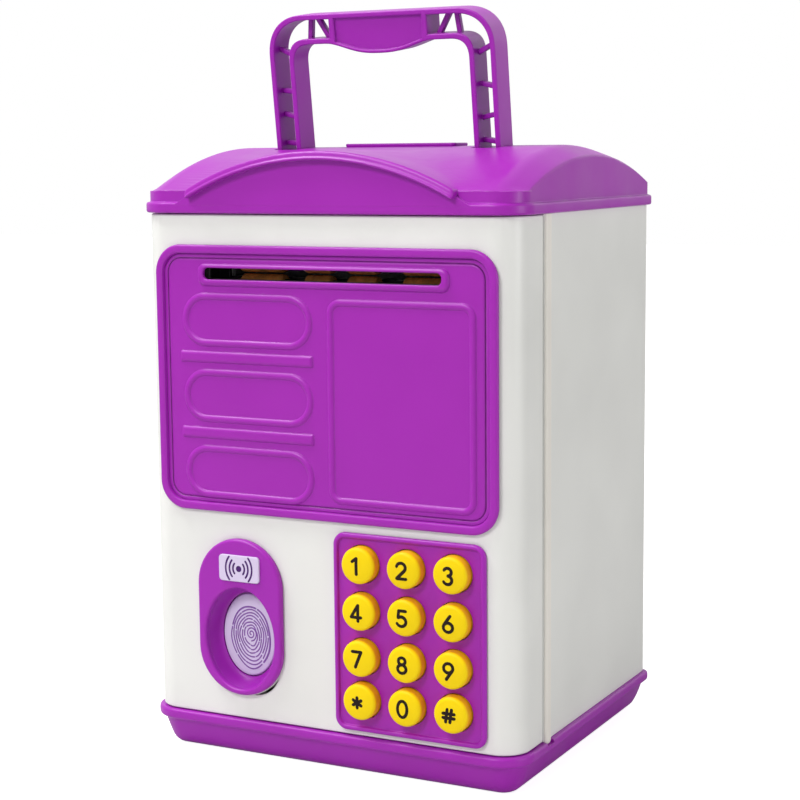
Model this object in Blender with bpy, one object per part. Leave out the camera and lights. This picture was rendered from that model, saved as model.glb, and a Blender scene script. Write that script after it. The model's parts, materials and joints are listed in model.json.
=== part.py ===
"""Toy savings bank shaped like a cash machine: a hinged door with a note slot,
a keypad and a fingerprint button, on a box with a vaulted roof and a carry handle.

Sizes are millimetres, turned into metres as each mesh is made.
X runs to the right, Y runs from the door to the back, and Z runs up.
The origin is the middle of the face that the base rests on.
"""

import math

import bmesh
import bpy
from mathutils import Matrix, Vector

MM = 0.001
GAP = 0.3
OVERLAP = 0.3

# Plan of the case
HALF_WIDTH = 65.0
HALF_DEPTH = 54.0
FRONT_RADIUS = 9.0
BACK_RADIUS = 2.0
WALL = 2.2
CORNER_STEPS = 5
ROUND = 20
HOLE = 12

# Heights
DECK_Z = 12.9
DOOR_BOTTOM_Z = 13.2
DOOR_TOP_Z = 172.7
EAVES_Z = 173.2
LIP_TOP_Z = 176.5
BAND_TOP_Z = 179.9
RIDGE_Z = 193.2
PLATE = 2.1

# Roof vault, its lower gable ends and the arch over the door
LIP = 1.6
BAND = 0.3
VAULT_RADIUS = 118.0
VAULT_HALF_LENGTH = 58.5
GABLE_RADIUS = 108.0
GABLE_Z = 190.0
GABLE_HALF_SPAN = 46.0
ARCH_RADIUS = 95.4
ARCH_Z = 189.3
HOOD = 2.8
HOOD_FRONT_Y = -58.0
HOOD_END_Z = 177.7

# Door and its hinge
SEAM_Y = -35.8
HINGE_RADIUS = 4.0
HINGE_X = -HALF_WIDTH + HINGE_RADIUS
HINGE_Y = SEAM_Y - HINGE_RADIUS
DOOR_FACE_Y = -HALF_DEPTH
DOOR_BACK_Y = DOOR_FACE_Y + WALL
PIN_RADIUS = 1.25
PIN_REACH = 8.0
CLEARANCE = 0.3
BODY_FRONT_Y = -35.0
STRIP_DEPTH = 5.0
STRIP_PROUD = 0.7
STRIP_DROP = 2.0

# Front panels
PANEL_Y = -55.5
PANEL_BACK_Y = DOOR_FACE_Y - GAP
FIELD_Y = -54.9
RIM = 2.6
SLOT_PANEL = (-59.0, 59.2, 79.6, 163.5)
SLOT_PANEL_RADIUS = 9.0
SLOT_Z = 154.6
SLOT_HALF_HEIGHT = 1.8
SLOT_HALF_LENGTH = 41.2
KEY_PANEL = (3.8, 55.1, 14.9, 76.9)
KEY_PANEL_RADIUS = 4.0
KEY_COLUMNS = (13.6, 29.1, 44.6)
KEY_ROWS = (67.5, 53.0, 38.6, 25.0)
KEY_RADIUS = 5.7
KEY_FRONT_Y = -58.4
KEY_FLANGE_Y = DOOR_BACK_Y + GAP
KEY_NAMES = ("1", "2", "3", "4", "5", "6", "7", "8", "9", "star", "0", "hash")

# Fingerprint unit
SCAN_X = -30.1
SCAN_Z = 46.3
SCAN_HALF_WIDTH = 15.3
SCAN_HALF_HEIGHT = 25.2
SCAN_FRONT_Y = -56.2
PAD_Z = 39.4
PAD_HALF_WIDTH = 9.8
PAD_HALF_HEIGHT = 13.4
CUP_HALF_WIDTH = 12.6
CUP_HALF_HEIGHT = 16.4
PAD_FRONT_Y = -50.2
LABEL = (-36.7, -22.0, 58.1, 66.5)

# Note feed behind the slot
FEED_Y = -44.6
DRIVE_Z = 158.7
DRIVE_RADIUS = 4.0
IDLER_Z = 151.2
IDLER_RADIUS = 3.0
SHAFT_RADIUS = 1.5
ROLLER_HALF_LENGTH = 45.0
MOTOR_Z = 129.0
DRIVE_PULLEY_RADIUS = 4.8
MOTOR_PULLEY_RADIUS = 2.4
PULLEY_X = 49.0
ROLLER_RINGS = ((-31.0, -16.0), (-8.0, 1.0), (7.0, 17.0), (26.0, 41.0))

# Carry handle
PIVOT_Y = -5.0
PIVOT_Z = 185.0
HANDLE_LEAN = 7.5
HANDLE_DEPTH = 11.0
LEG_OUTER = 39.9
LEG_INNER = 32.0
HANDLE_TOP = 51.2
HANDLE_RAIL = 41.0
SHOULDER_X = 26.5
SHOULDER_H = 38.0
GRIP_HALF = 19.5
RAIL = 2.6
HANDLE_PIN_RADIUS = 1.5

# Coin slot, lock, batteries and screws
COIN_HALF_LENGTH = 16.5
COIN_HALF_WIDTH = 1.9
CHUTE_HALF_LENGTH = 21.0
CHUTE_HALF_WIDTH = 3.7
LOCK_X = 36.0
LOCK_Y = -27.0
BOLT_RADIUS = 2.0
CELL_RADIUS = 7.1
CELL_LENGTH = 50.2
CELL_PITCH = 14.8
CELL_Y = 18.4
CELL_Z = 9.6
BAY_HALF_LENGTH = 27.3
BAY_FRONT_Y = CELL_Y - 22.4
BAY_BACK_Y = CELL_Y + 22.4
BAY_SCREW_Y = BAY_FRONT_Y - 4.0
SCREW_X = 52.0
SCREW_ROWS_Y = (-28.0, 38.0)
SCREW_RADIUS = 1.2
PILOT_RADIUS = 1.5
BOSS_RADIUS = 3.3

PURPLE = ("purple_plastic", (0.36, 0.03, 0.47), 0.38, 0.0)
WHITE = ("white_plastic", (0.84, 0.84, 0.80), 0.35, 0.0)
YELLOW = ("yellow_plastic", (1.0, 0.72, 0.0), 0.35, 0.0)
LILAC = ("lilac_plastic", (0.62, 0.56, 0.78), 0.4, 0.0)
BLACK = ("black_plastic", (0.03, 0.03, 0.03), 0.5, 0.0)
RUBBER = ("roller_rubber", (0.55, 0.20, 0.03), 0.8, 0.0)
DARK_RUBBER = ("dark_rubber", (0.02, 0.02, 0.02), 0.8, 0.0)
STEEL = ("steel", (0.60, 0.60, 0.60), 0.3, 1.0)
BOARD = ("circuit_board", (0.02, 0.20, 0.07), 0.5, 0.0)
CELL = ("cell_jacket", (0.10, 0.10, 0.12), 0.4, 0.0)
WIRE = ("wire_jacket", (0.60, 0.02, 0.02), 0.5, 0.0)


# ---------------------------------------------------------------- scene and materials

def clear_scene():
    for item in list(bpy.data.objects):
        bpy.data.objects.remove(item)


def new_collection(name):
    collection = bpy.data.collections.new(name)
    bpy.context.scene.collection.children.link(collection)
    return collection


def material(look):
    name, colour, roughness, metallic = look
    found = bpy.data.materials.get(name)
    if found:
        return found
    made = bpy.data.materials.new(name)
    made.use_nodes = True
    shader = made.node_tree.nodes["Principled BSDF"]
    shader.inputs["Base Color"].default_value = (*colour, 1.0)
    shader.inputs["Roughness"].default_value = roughness
    shader.inputs["Metallic"].default_value = metallic
    made.diffuse_color = (*colour, 1.0)
    return made


def put(name, shape, look, origin=(0.0, 0.0, 0.0), parent=None):
    """Makes an object from a bmesh in millimetres, with its origin at the given point."""
    bmesh.ops.recalc_face_normals(shape, faces=shape.faces)
    bmesh.ops.translate(shape, vec=-Vector(origin), verts=shape.verts)
    bmesh.ops.scale(shape, vec=(MM, MM, MM), verts=shape.verts)
    mesh = bpy.data.meshes.new(name)
    shape.to_mesh(mesh)
    shape.free()
    mesh.shade_smooth()
    mesh.set_sharp_from_angle(angle=math.radians(35))
    item = bpy.data.objects.new(name, mesh)
    item.location = Vector(origin) * MM
    if look:
        mesh.materials.append(material(look))
        PARTS.objects.link(item)
    else:
        item.hide_render = True
        item.display_type = "WIRE"
        CUTTERS.objects.link(item)
    if parent:
        item.parent = parent
        item.matrix_parent_inverse = Matrix.Translation(parent.location).inverted()
    return item


def axis_empty(name, origin):
    """An empty on a joint's axis, which carries the pieces that move together."""
    empty = bpy.data.objects.new(name, None)
    empty.empty_display_size = 0.02
    empty.location = Vector(origin) * MM
    PARTS.objects.link(empty)
    return empty


def combine(item, operation, *shapes):
    """Cuts from, adds to or trims an object with other shapes, one Boolean for each."""
    for shape in shapes:
        tool = put(f"{item.name}_{operation.lower()}", shape, None)
        step = item.modifiers.new(tool.name, "BOOLEAN")
        step.operation = operation
        step.solver = "EXACT"
        step.object = tool
    return item


# ---------------------------------------------------------------- shapes

def box(x0, x1, y0, y1, z0, z1):
    shape = bmesh.new()
    bmesh.ops.create_cube(shape, size=1.0)
    bmesh.ops.scale(shape, vec=(x1 - x0, y1 - y0, z1 - z0), verts=shape.verts)
    centre = ((x0 + x1) / 2, (y0 + y1) / 2, (z0 + z1) / 2)
    bmesh.ops.translate(shape, vec=centre, verts=shape.verts)
    return shape


def rod(start, end, radius, segments=HOLE):
    """A cylinder between two points."""
    start = Vector(start)
    along = Vector(end) - start
    shape = bmesh.new()
    bmesh.ops.create_cone(
        shape, cap_ends=True, segments=segments, radius1=radius, radius2=radius,
        depth=along.length,
    )
    turn = along.to_track_quat("Z", "Y").to_matrix().to_4x4()
    bmesh.ops.transform(
        shape, matrix=Matrix.Translation(start + along / 2) @ turn, verts=shape.verts
    )
    return shape


def loft(rings):
    """A closed skin through rings of points, each with the same number of points."""
    shape = bmesh.new()
    rows = [[shape.verts.new(point) for point in ring] for ring in rings]
    count = len(rows[0])
    for low, high in zip(rows, rows[1:]):
        for i in range(count):
            j = (i + 1) % count
            shape.faces.new((low[i], low[j], high[j], high[i]))
    shape.faces.new(rows[0][::-1])
    shape.faces.new(rows[-1])
    return shape


def arc(centre, radius, start, end, steps):
    """Points along an arc, angles in degrees."""
    for i in range(steps + 1):
        angle = math.radians(start + (end - start) * i / steps)
        yield centre[0] + radius * math.cos(angle), centre[1] + radius * math.sin(angle)


def rounded(x0, x1, y0, y1, radii, steps=CORNER_STEPS):
    """A rectangle's outline with its corners rounded: right front, right back, left back, left front."""
    corners = ((x1, y0, -90), (x1, y1, 0), (x0, y1, 90), (x0, y0, 180))
    points = []
    for (x, y, start), radius in zip(corners, radii):
        centre = (x - math.copysign(radius, x - x0 - 1e-6), y - math.copysign(radius, y - y0 - 1e-6))
        points += arc(centre, radius, start, start + 90, steps)
    return points


def plan(offset):
    """The case's outline seen from above, moved outward by an offset."""
    front = FRONT_RADIUS + offset
    back = max(BACK_RADIUS + offset, 0.6)
    x = HALF_WIDTH + offset
    y = HALF_DEPTH + offset
    return rounded(-x, x, -y, y, (front, back, back, front))


def stacked(levels):
    """A loft of the case's outline through (height, offset) pairs."""
    return loft([[(x, y, z) for x, y in plan(offset)] for z, offset in levels])


def panel(points, y0, y1):
    """An outline in X and Z given a thickness along Y."""
    return loft([[(x, y, z) for x, z in points] for y in (y0, y1)])


def rounded_panel(sides, radius, y0, y1, inset=0.0):
    x0, x1, z0, z1 = sides
    r = radius - inset
    outline = rounded(x0 + inset, x1 - inset, z0 + inset, z1 - inset, (r, r, r, r))
    return panel(outline, y0, y1)


def oval(x, z, half_width, half_height, y0, y1, segments=28, taper=1.0):
    """An elliptical plug along Y, whose far end is scaled by the taper."""
    rings = []
    for y, grow in ((y0, 1.0), (y1, taper)):
        angles = [2 * math.pi * i / segments for i in range(segments)]
        rings.append([
            (x + half_width * grow * math.cos(a), y, z + half_height * grow * math.sin(a))
            for a in angles
        ])
    return loft(rings)


def turned(profile, origin, axis, segments=ROUND):
    """A solid of revolution from (distance along the axis, radius) pairs."""
    direction = Vector(axis)
    turn = direction.to_track_quat("Z", "Y").to_matrix()
    rings = []
    for along, radius in profile:
        ring = []
        for i in range(segments):
            angle = 2 * math.pi * i / segments
            local = Vector((radius * math.cos(angle), radius * math.sin(angle), along))
            ring.append(turn @ local + Vector(origin))
        rings.append(ring)
    return loft(rings)


# ---------------------------------------------------------------- base

def boss_places():
    return [(x, y) for x in (-SCREW_X, SCREW_X) for y in SCREW_ROWS_Y]


def screw(name, head_z, direction, x, y, parent=None):
    """A pan-head screw whose head starts at a height and whose shank runs up or down."""
    profile = [(0.0, 2.1), (0.5, 2.6), (1.7, 2.6), (1.7, SCREW_RADIUS), (8.4, SCREW_RADIUS), (9.2, 0.4)]
    put(name, turned(profile, (x, y, head_z), (0, 0, direction), HOLE), STEEL, (x, y, head_z), parent)


def base():
    tray = put("base_tray", stacked([
        (0.0, -5.6), (0.8, -4.6), (4.5, -3.1), (9.2, -1.6), (9.7, 1.0), (10.3, LIP), (12.3, LIP),
        (DECK_Z, 1.0), (DECK_Z, -1.7), (10.5, -1.7), (10.5, -4.0), (5.0, -5.6), (2.2, -8.0),
    ]), PURPLE)
    for x, y in boss_places():
        combine(tray, "UNION", rod((x, y, 1.5), (x, y, 5.6), BOSS_RADIUS + 0.5))
        combine(tray, "DIFFERENCE", rod((x, y, -1), (x, y, 2.4), 3.0))
        combine(tray, "DIFFERENCE", rod((x, y, 1), (x, y, 7), PILOT_RADIUS + 0.3))
    strip_back = BODY_FRONT_Y + STRIP_DEPTH
    for side in (-1, 1):
        xs = sorted((side * HALF_WIDTH, side * (HALF_WIDTH + 3)))
        combine(tray, "DIFFERENCE", box(
            *xs, BODY_FRONT_Y - GAP, strip_back + GAP, DECK_Z - STRIP_DROP - GAP, DECK_Z + 1))
    combine(tray, "DIFFERENCE", box(
        -BAY_HALF_LENGTH, BAY_HALF_LENGTH, BAY_FRONT_Y - 7.0, BAY_BACK_Y, -1, 5))

    deck = put("floor_plate", stacked([(DECK_Z - PLATE, -2.0), (DECK_Z, -2.0)]), WHITE)
    combine(deck, "DIFFERENCE", box(-29.1, 29.1, BAY_FRONT_Y - 8.6, BAY_BACK_Y + 1.8, 5, 20))
    for x, y in boss_places():
        combine(deck, "UNION", rod((x, y, 5.9), (x, y, 11.5), BOSS_RADIUS))
        combine(deck, "DIFFERENCE", rod((x, y, 5), (x, y, 10.3), PILOT_RADIUS))
    combine(deck, "DIFFERENCE", rod(
        (HINGE_X, HINGE_Y, 5), (HINGE_X, HINGE_Y, 14), PIN_RADIUS + CLEARANCE))
    for index, (x, y) in enumerate(boss_places(), 1):
        screw(f"base_screw_{index}", 0.5, 1, x, y)


def batteries():
    low, high = BAY_FRONT_Y, BAY_BACK_Y
    housing = put("battery_housing", box(-28.8, 28.8, low - 8.3, high + 1.5, 2.5, 18.5), BLACK)
    combine(housing, "DIFFERENCE", box(-BAY_HALF_LENGTH, BAY_HALF_LENGTH, low, high, 0, 17.0))
    combine(housing, "DIFFERENCE", rod((0, BAY_SCREW_Y, 0), (0, BAY_SCREW_Y, 11.5), PILOT_RADIUS))

    cover = put("battery_cover", box(
        -BAY_HALF_LENGTH + GAP, BAY_HALF_LENGTH - GAP, low - 6.7, high - GAP, 0.0, 1.6), PURPLE)
    combine(cover, "DIFFERENCE", rod((0, BAY_SCREW_Y, -1), (0, BAY_SCREW_Y, 3), PILOT_RADIUS))
    combine(cover, "DIFFERENCE", rod((0, BAY_SCREW_Y, -1), (0, BAY_SCREW_Y, 0.9), 2.3))
    profile = [(0.0, 1.8), (0.6, 1.9), (0.6, SCREW_RADIUS), (8.0, SCREW_RADIUS)]
    place = (0, BAY_SCREW_Y, 0.2)
    put("battery_cover_screw", turned(profile, place, (0, 0, 1), HOLE), STEEL, place)

    for index in range(3):
        y = CELL_Y + (index - 1) * CELL_PITCH
        side = -1 if index == 1 else 1
        half = CELL_LENGTH / 2
        profile = [(-half + 1.4, CELL_RADIUS - 0.6), (-half + 1.4 + 0.6, CELL_RADIUS),
                   (half - 1.0, CELL_RADIUS), (half - 0.4, CELL_RADIUS - 0.6),
                   (half - 0.4, 2.7), (half + 0.9, 2.7)]
        put(f"battery_cell_{index + 1}", turned(profile, (0, y, CELL_Z), (side, 0, 0)), CELL,
            (0, y, CELL_Z))
    for name, x in (("contact_plate_left", -27.0), ("contact_plate_right", 26.6)):
        put(name, box(x, x + 0.4, low + 0.4, high - 0.4, 3.0, 16.6), STEEL)


# ---------------------------------------------------------------- case

def body():
    """The sides and back in one wrap, with a proud strip down each front edge."""
    half_turn = plan(0.0)[CORNER_STEPS + 1:3 * (CORNER_STEPS + 1)]
    inner_turn = plan(-WALL)[CORNER_STEPS + 1:3 * (CORNER_STEPS + 1)]
    inside = HALF_WIDTH - WALL
    outline = [(HALF_WIDTH, BODY_FRONT_Y), *half_turn, (-HALF_WIDTH, BODY_FRONT_Y),
               (-inside, BODY_FRONT_Y), *inner_turn[::-1], (inside, BODY_FRONT_Y)]
    shape = loft([[(x, y, z) for x, y in outline] for z in (DECK_Z + GAP, EAVES_Z - GAP)])
    shell = put("body_shell", shape, WHITE)
    for side in (-1, 1):
        xs = sorted((side * (HALF_WIDTH - 1), side * (HALF_WIDTH + STRIP_PROUD)))
        combine(shell, "UNION", box(
            *xs, BODY_FRONT_Y, BODY_FRONT_Y + STRIP_DEPTH, DECK_Z + GAP, EAVES_Z - GAP))
        xs = sorted((side * (HALF_WIDTH + 0.2), side * (HALF_WIDTH + STRIP_PROUD)))
        combine(shell, "UNION", box(
            *xs, BODY_FRONT_Y, BODY_FRONT_Y + STRIP_DEPTH, DECK_Z - STRIP_DROP, DECK_Z + 2))


# ---------------------------------------------------------------- roof

def vault_loft(radius, top, half_length, end_radius, end_top, end_half_span, end_x, floor, span):
    """A barrel vault along X whose ends slope down to a smaller arch."""
    steps = 16

    def section(x, r, crown, half_span):
        points = [(x, half_span, floor), (x, -half_span, floor)]
        for i in range(steps + 1):
            y = -half_span + 2 * half_span * i / steps
            points.append((x, y, crown - r + math.sqrt(r * r - y * y)))
        return points

    shape = loft([
        section(-end_x, end_radius, end_top, end_half_span),
        section(-half_length, radius, top, span),
        section(half_length, radius, top, span),
        section(end_x, end_radius, end_top, end_half_span),
    ])
    bmesh.ops.triangulate(shape, faces=shape.faces)
    return shape


def arch_points(radius, crown, floor, half_limit=None, steps=20):
    """Points of a circular arch in X and Z, from its left foot to its right foot."""
    drop = crown - floor
    half = math.sqrt(2 * radius * drop - drop * drop)
    if half_limit:
        half = min(half, half_limit)
    for i in range(steps + 1):
        x = -half + 2 * half * i / steps
        yield x, crown - radius + math.sqrt(radius * radius - x * x)


def roof():
    cover = put("roof_cover", stacked([
        (EAVES_Z, 1.0), (EAVES_Z + 0.6, LIP), (LIP_TOP_Z - 0.5, LIP), (LIP_TOP_Z, 1.1),
        (LIP_TOP_Z, BAND), (BAND_TOP_Z - 0.4, BAND), (BAND_TOP_Z, 0.0),
    ]), PURPLE)
    vault = vault_loft(VAULT_RADIUS, RIDGE_Z, VAULT_HALF_LENGTH, GABLE_RADIUS, GABLE_Z,
                       GABLE_HALF_SPAN, HALF_WIDTH + BAND, LIP_TOP_Z - 1, HALF_DEPTH)
    vault_tool = combine(cover, "UNION", vault).modifiers[-1].object
    combine(vault_tool, "INTERSECT", stacked([(LIP_TOP_Z - 2, -OVERLAP), (RIDGE_Z + 5, -OVERLAP)]))

    back_y = -10.0
    front_y = -HALF_DEPTH - LIP
    over = list(arch_points(ARCH_RADIUS + HOOD, ARCH_Z + HOOD, HOOD_END_Z))
    combine(cover, "UNION", panel(over, HOOD_FRONT_Y, back_y))
    under = list(arch_points(ARCH_RADIUS, ARCH_Z, HOOD_END_Z - 0.7))
    combine(cover, "DIFFERENCE", panel(under, HOOD_FRONT_Y - 1, front_y + OVERLAP))
    face = list(arch_points(ARCH_RADIUS + OVERLAP, ARCH_Z + OVERLAP, LIP_TOP_Z - 1))
    combine(cover, "UNION", panel(face, front_y - 0.02, back_y - 3))

    skin = 2.2
    floor = EAVES_Z - 2
    hollow = vault_loft(VAULT_RADIUS - skin, RIDGE_Z - skin, VAULT_HALF_LENGTH - 1.5,
                        GABLE_RADIUS - skin, GABLE_Z - skin, GABLE_HALF_SPAN - 2,
                        HALF_WIDTH - 1.9, floor, HALF_DEPTH - 1.7)
    hollow_tool = combine(cover, "DIFFERENCE", hollow).modifiers[-1].object
    combine(hollow_tool, "INTERSECT", stacked([(floor - 1, -1.9), (RIDGE_Z, -1.9)]))
    arch_hollow = list(arch_points(ARCH_RADIUS - 1, ARCH_Z - 1, LIP_TOP_Z + 2))
    foot = [(arch_hollow[-1][0], floor), (arch_hollow[0][0], floor)]
    combine(cover, "DIFFERENCE", panel(arch_hollow + foot, -HALF_DEPTH + 1.0, -18.0))
    combine(cover, "DIFFERENCE", stacked([(floor, -1.7), (LIP_TOP_Z + 0.6, -1.7)]))

    for side in (-1, 1):
        xs = sorted((side * (LEG_INNER - GAP), side * (LEG_OUTER + GAP)))
        combine(cover, "DIFFERENCE", box(*xs, -13.2, 31.0, EAVES_Z + 3.5, RIDGE_Z + 5))
    combine(cover, "DIFFERENCE", box(
        -CHUTE_HALF_LENGTH - GAP, CHUTE_HALF_LENGTH + GAP,
        -CHUTE_HALF_WIDTH - GAP, CHUTE_HALF_WIDTH + GAP, EAVES_Z, RIDGE_Z + 5))
    for x, y in boss_places():
        top = RIDGE_Z - VAULT_RADIUS + math.sqrt(VAULT_RADIUS ** 2 - y * y) - 1.2
        combine(cover, "UNION", rod((x, y, EAVES_Z + PLATE + GAP), (x, y, top), BOSS_RADIUS))
        combine(cover, "DIFFERENCE", rod((x, y, EAVES_Z), (x, y, top - 2.0), PILOT_RADIUS))


def top_plate():
    top = EAVES_Z + PLATE
    plate = put("top_plate", stacked([(EAVES_Z, -2.0), (top, -2.0)]), WHITE)
    for side in (-1, 1):
        for inner in (LEG_INNER - 2.1, LEG_OUTER + 0.6):
            xs = sorted((side * inner, side * (inner + 1.5)))
            combine(plate, "UNION", box(*xs, PIVOT_Y - 5, PIVOT_Y + 5, top - 1, PIVOT_Z + 3.6))
        pin_ends = ((side * 28, PIVOT_Y, PIVOT_Z), (side * 44, PIVOT_Y, PIVOT_Z))
        combine(plate, "DIFFERENCE", rod(*pin_ends, HANDLE_PIN_RADIUS + CLEARANCE))
    combine(plate, "DIFFERENCE", box(
        -CHUTE_HALF_LENGTH - GAP, CHUTE_HALF_LENGTH + GAP,
        -CHUTE_HALF_WIDTH - GAP, CHUTE_HALF_WIDTH + GAP, EAVES_Z - 1, top + 1))
    for x, y in boss_places():
        combine(plate, "DIFFERENCE", rod((x, y, EAVES_Z - 1), (x, y, top + 1), PILOT_RADIUS + 0.2))
    combine(plate, "DIFFERENCE", rod(
        (LOCK_X, LOCK_Y, EAVES_Z - 1), (LOCK_X, LOCK_Y, top + 1), BOLT_RADIUS + CLEARANCE))
    combine(plate, "DIFFERENCE", rod(
        (HINGE_X, HINGE_Y, EAVES_Z - 1), (HINGE_X, HINGE_Y, top + 1), PIN_RADIUS + CLEARANCE))
    for index, (x, y) in enumerate(boss_places(), 1):
        screw(f"roof_screw_{index}", EAVES_Z - 2.0, 1, x, y)


def coin_chute():
    """The coin slot's collar on the ridge and the tube that leads into the box."""
    foot = EAVES_Z - 3
    chute = put("coin_chute", box(
        -CHUTE_HALF_LENGTH, CHUTE_HALF_LENGTH, -CHUTE_HALF_WIDTH, CHUTE_HALF_WIDTH,
        foot, RIDGE_Z + 0.8), PURPLE)
    collar = [(x, y, z) for z in (RIDGE_Z + GAP, RIDGE_Z + 1.0)
              for x, y in rounded(-22.2, 22.2, -5.5, 5.5, (1.5,) * 4, 4)]
    count = len(collar) // 2
    combine(chute, "UNION", loft([collar[:count], collar[count:]]))
    combine(chute, "DIFFERENCE", box(
        -COIN_HALF_LENGTH, COIN_HALF_LENGTH, -COIN_HALF_WIDTH, COIN_HALF_WIDTH,
        foot - 1, RIDGE_Z + 5))


def hinge_pins():
    for name, low, high in (
        ("hinge_pin_top", DOOR_TOP_Z - PIN_REACH, EAVES_Z + PLATE),
        ("hinge_pin_bottom", DECK_Z - PLATE, DOOR_BOTTOM_Z + PIN_REACH),
    ):
        ends = ((HINGE_X, HINGE_Y, low), (HINGE_X, HINGE_Y, high))
        put(name, rod(*ends, PIN_RADIUS), STEEL, ends[0])


# ---------------------------------------------------------------- handle

def handle_outline():
    """The handle's outer edge from the left foot, over the top, to the right foot."""
    shoulder = (LEG_OUTER - SHOULDER_X, HANDLE_TOP - SHOULDER_H)
    right = []
    for i in range(7):
        angle = math.radians(90 * i / 6)
        right.append((SHOULDER_X + shoulder[0] * math.cos(angle) ** 0.85 if i < 6 else SHOULDER_X,
                      SHOULDER_H + shoulder[1] * math.sin(angle) ** 0.85))
    return [(LEG_OUTER, 0.0), *right, *[(-x, h) for x, h in right[::-1]], (-LEG_OUTER, 0.0)]


def handle():
    """A truss: two rails joined by ribs, with a solid grip in the middle."""
    half = HANDLE_DEPTH / 2

    def at(points, y0=-half, y1=half):
        return panel([(x, h + PIVOT_Z) for x, h in points], PIVOT_Y + y0, PIVOT_Y + y1)

    carry = put("carry_handle", at(handle_outline()), PURPLE, (0, PIVOT_Y, PIVOT_Z))
    opening = [(-LEG_INNER, -10), (LEG_INNER, -10), (LEG_INNER, 36.0), (25.5, HANDLE_RAIL),
               (GRIP_HALF, HANDLE_RAIL), (15.0, 38.9), (-15.0, 38.9), (-GRIP_HALF, HANDLE_RAIL),
               (-25.5, HANDLE_RAIL), (-LEG_INNER, 36.0)]
    parts = [at(opening, -20, 20)]
    inner, outer = LEG_INNER + RAIL, LEG_OUTER - RAIL
    ribs = (9.2, 17.9, 25.7, 34.6)
    for side in (-1, 1):
        for low, high in zip(ribs, ribs[1:]):
            corners = ((inner, low + 0.8), (outer, low + 0.8), (outer, high - 0.8), (inner, high - 0.8))
            parts.append(at([(side * x, h) for x, h in corners], -20, 20))
        shoulder = ((inner, 35.6), (outer, 36.4), (outer, 39.2), (34.4, 42.0), (31.8, 39.2))
        bend = ((30.8, 40.4), (33.2, 43.2), (27.6, 48.4), (25.2, 48.5), (25.2, 43.7), (28.0, 43.2))
        top = ((GRIP_HALF + 0.4, 43.7), (24.0, 43.7), (24.0, 48.5), (GRIP_HALF + 0.4, 48.5))
        for window in (shoulder, bend, top):
            parts.append(at([(side * x, h) for x, h in window], -20, 20))
    combine(carry, "DIFFERENCE", *parts)
    for side in (-1, 1):
        ends = ((side * LEG_INNER, PIVOT_Y, PIVOT_Z), (side * LEG_OUTER, PIVOT_Y, PIVOT_Z))
        combine(carry, "UNION", rod(*ends, half, ROUND))
        ends = ((side * 28, PIVOT_Y, PIVOT_Z), (side * 44, PIVOT_Y, PIVOT_Z))
        combine(carry, "DIFFERENCE", rod(*ends, HANDLE_PIN_RADIUS + CLEARANCE))
        name = "handle_pin_right" if side > 0 else "handle_pin_left"
        ends = ((side * (LEG_INNER - 2.4), PIVOT_Y, PIVOT_Z), (side * (LEG_OUTER + 2.4), PIVOT_Y, PIVOT_Z))
        put(name, rod(*ends, HANDLE_PIN_RADIUS), STEEL, ends[0])
    return carry


def lean(item):
    """Leans the handle and the tools that shape it forward about the handle's pivot."""
    pivot = Vector((0, PIVOT_Y, PIVOT_Z)) * MM
    turn = (Matrix.Translation(pivot) @ Matrix.Rotation(math.radians(HANDLE_LEAN), 4, "X")
            @ Matrix.Translation(-pivot))
    for piece in (item, *(step.object for step in item.modifiers)):
        piece.matrix_world = turn @ Matrix.Translation(piece.location)


def lock():
    coil_low = EAVES_Z + PLATE + GAP
    coil_high = coil_low + 8.5
    coil = put("lock_coil", box(
        LOCK_X - 7, LOCK_X + 7, LOCK_Y - 6, LOCK_Y + 6, coil_low, coil_high), STEEL)
    combine(coil, "DIFFERENCE", rod(
        (LOCK_X, LOCK_Y, coil_low - 1), (LOCK_X, LOCK_Y, coil_high + 1), BOLT_RADIUS + CLEARANCE))
    low, high = EAVES_Z + 0.5, coil_high + 1.0
    profile = [(0.0, 1.4), (0.6, BOLT_RADIUS), (high - low, BOLT_RADIUS)]
    put("lock_bolt", turned(profile, (LOCK_X, LOCK_Y, low), (0, 0, 1), HOLE), STEEL,
        (LOCK_X, LOCK_Y, low))


# ---------------------------------------------------------------- door

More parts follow.
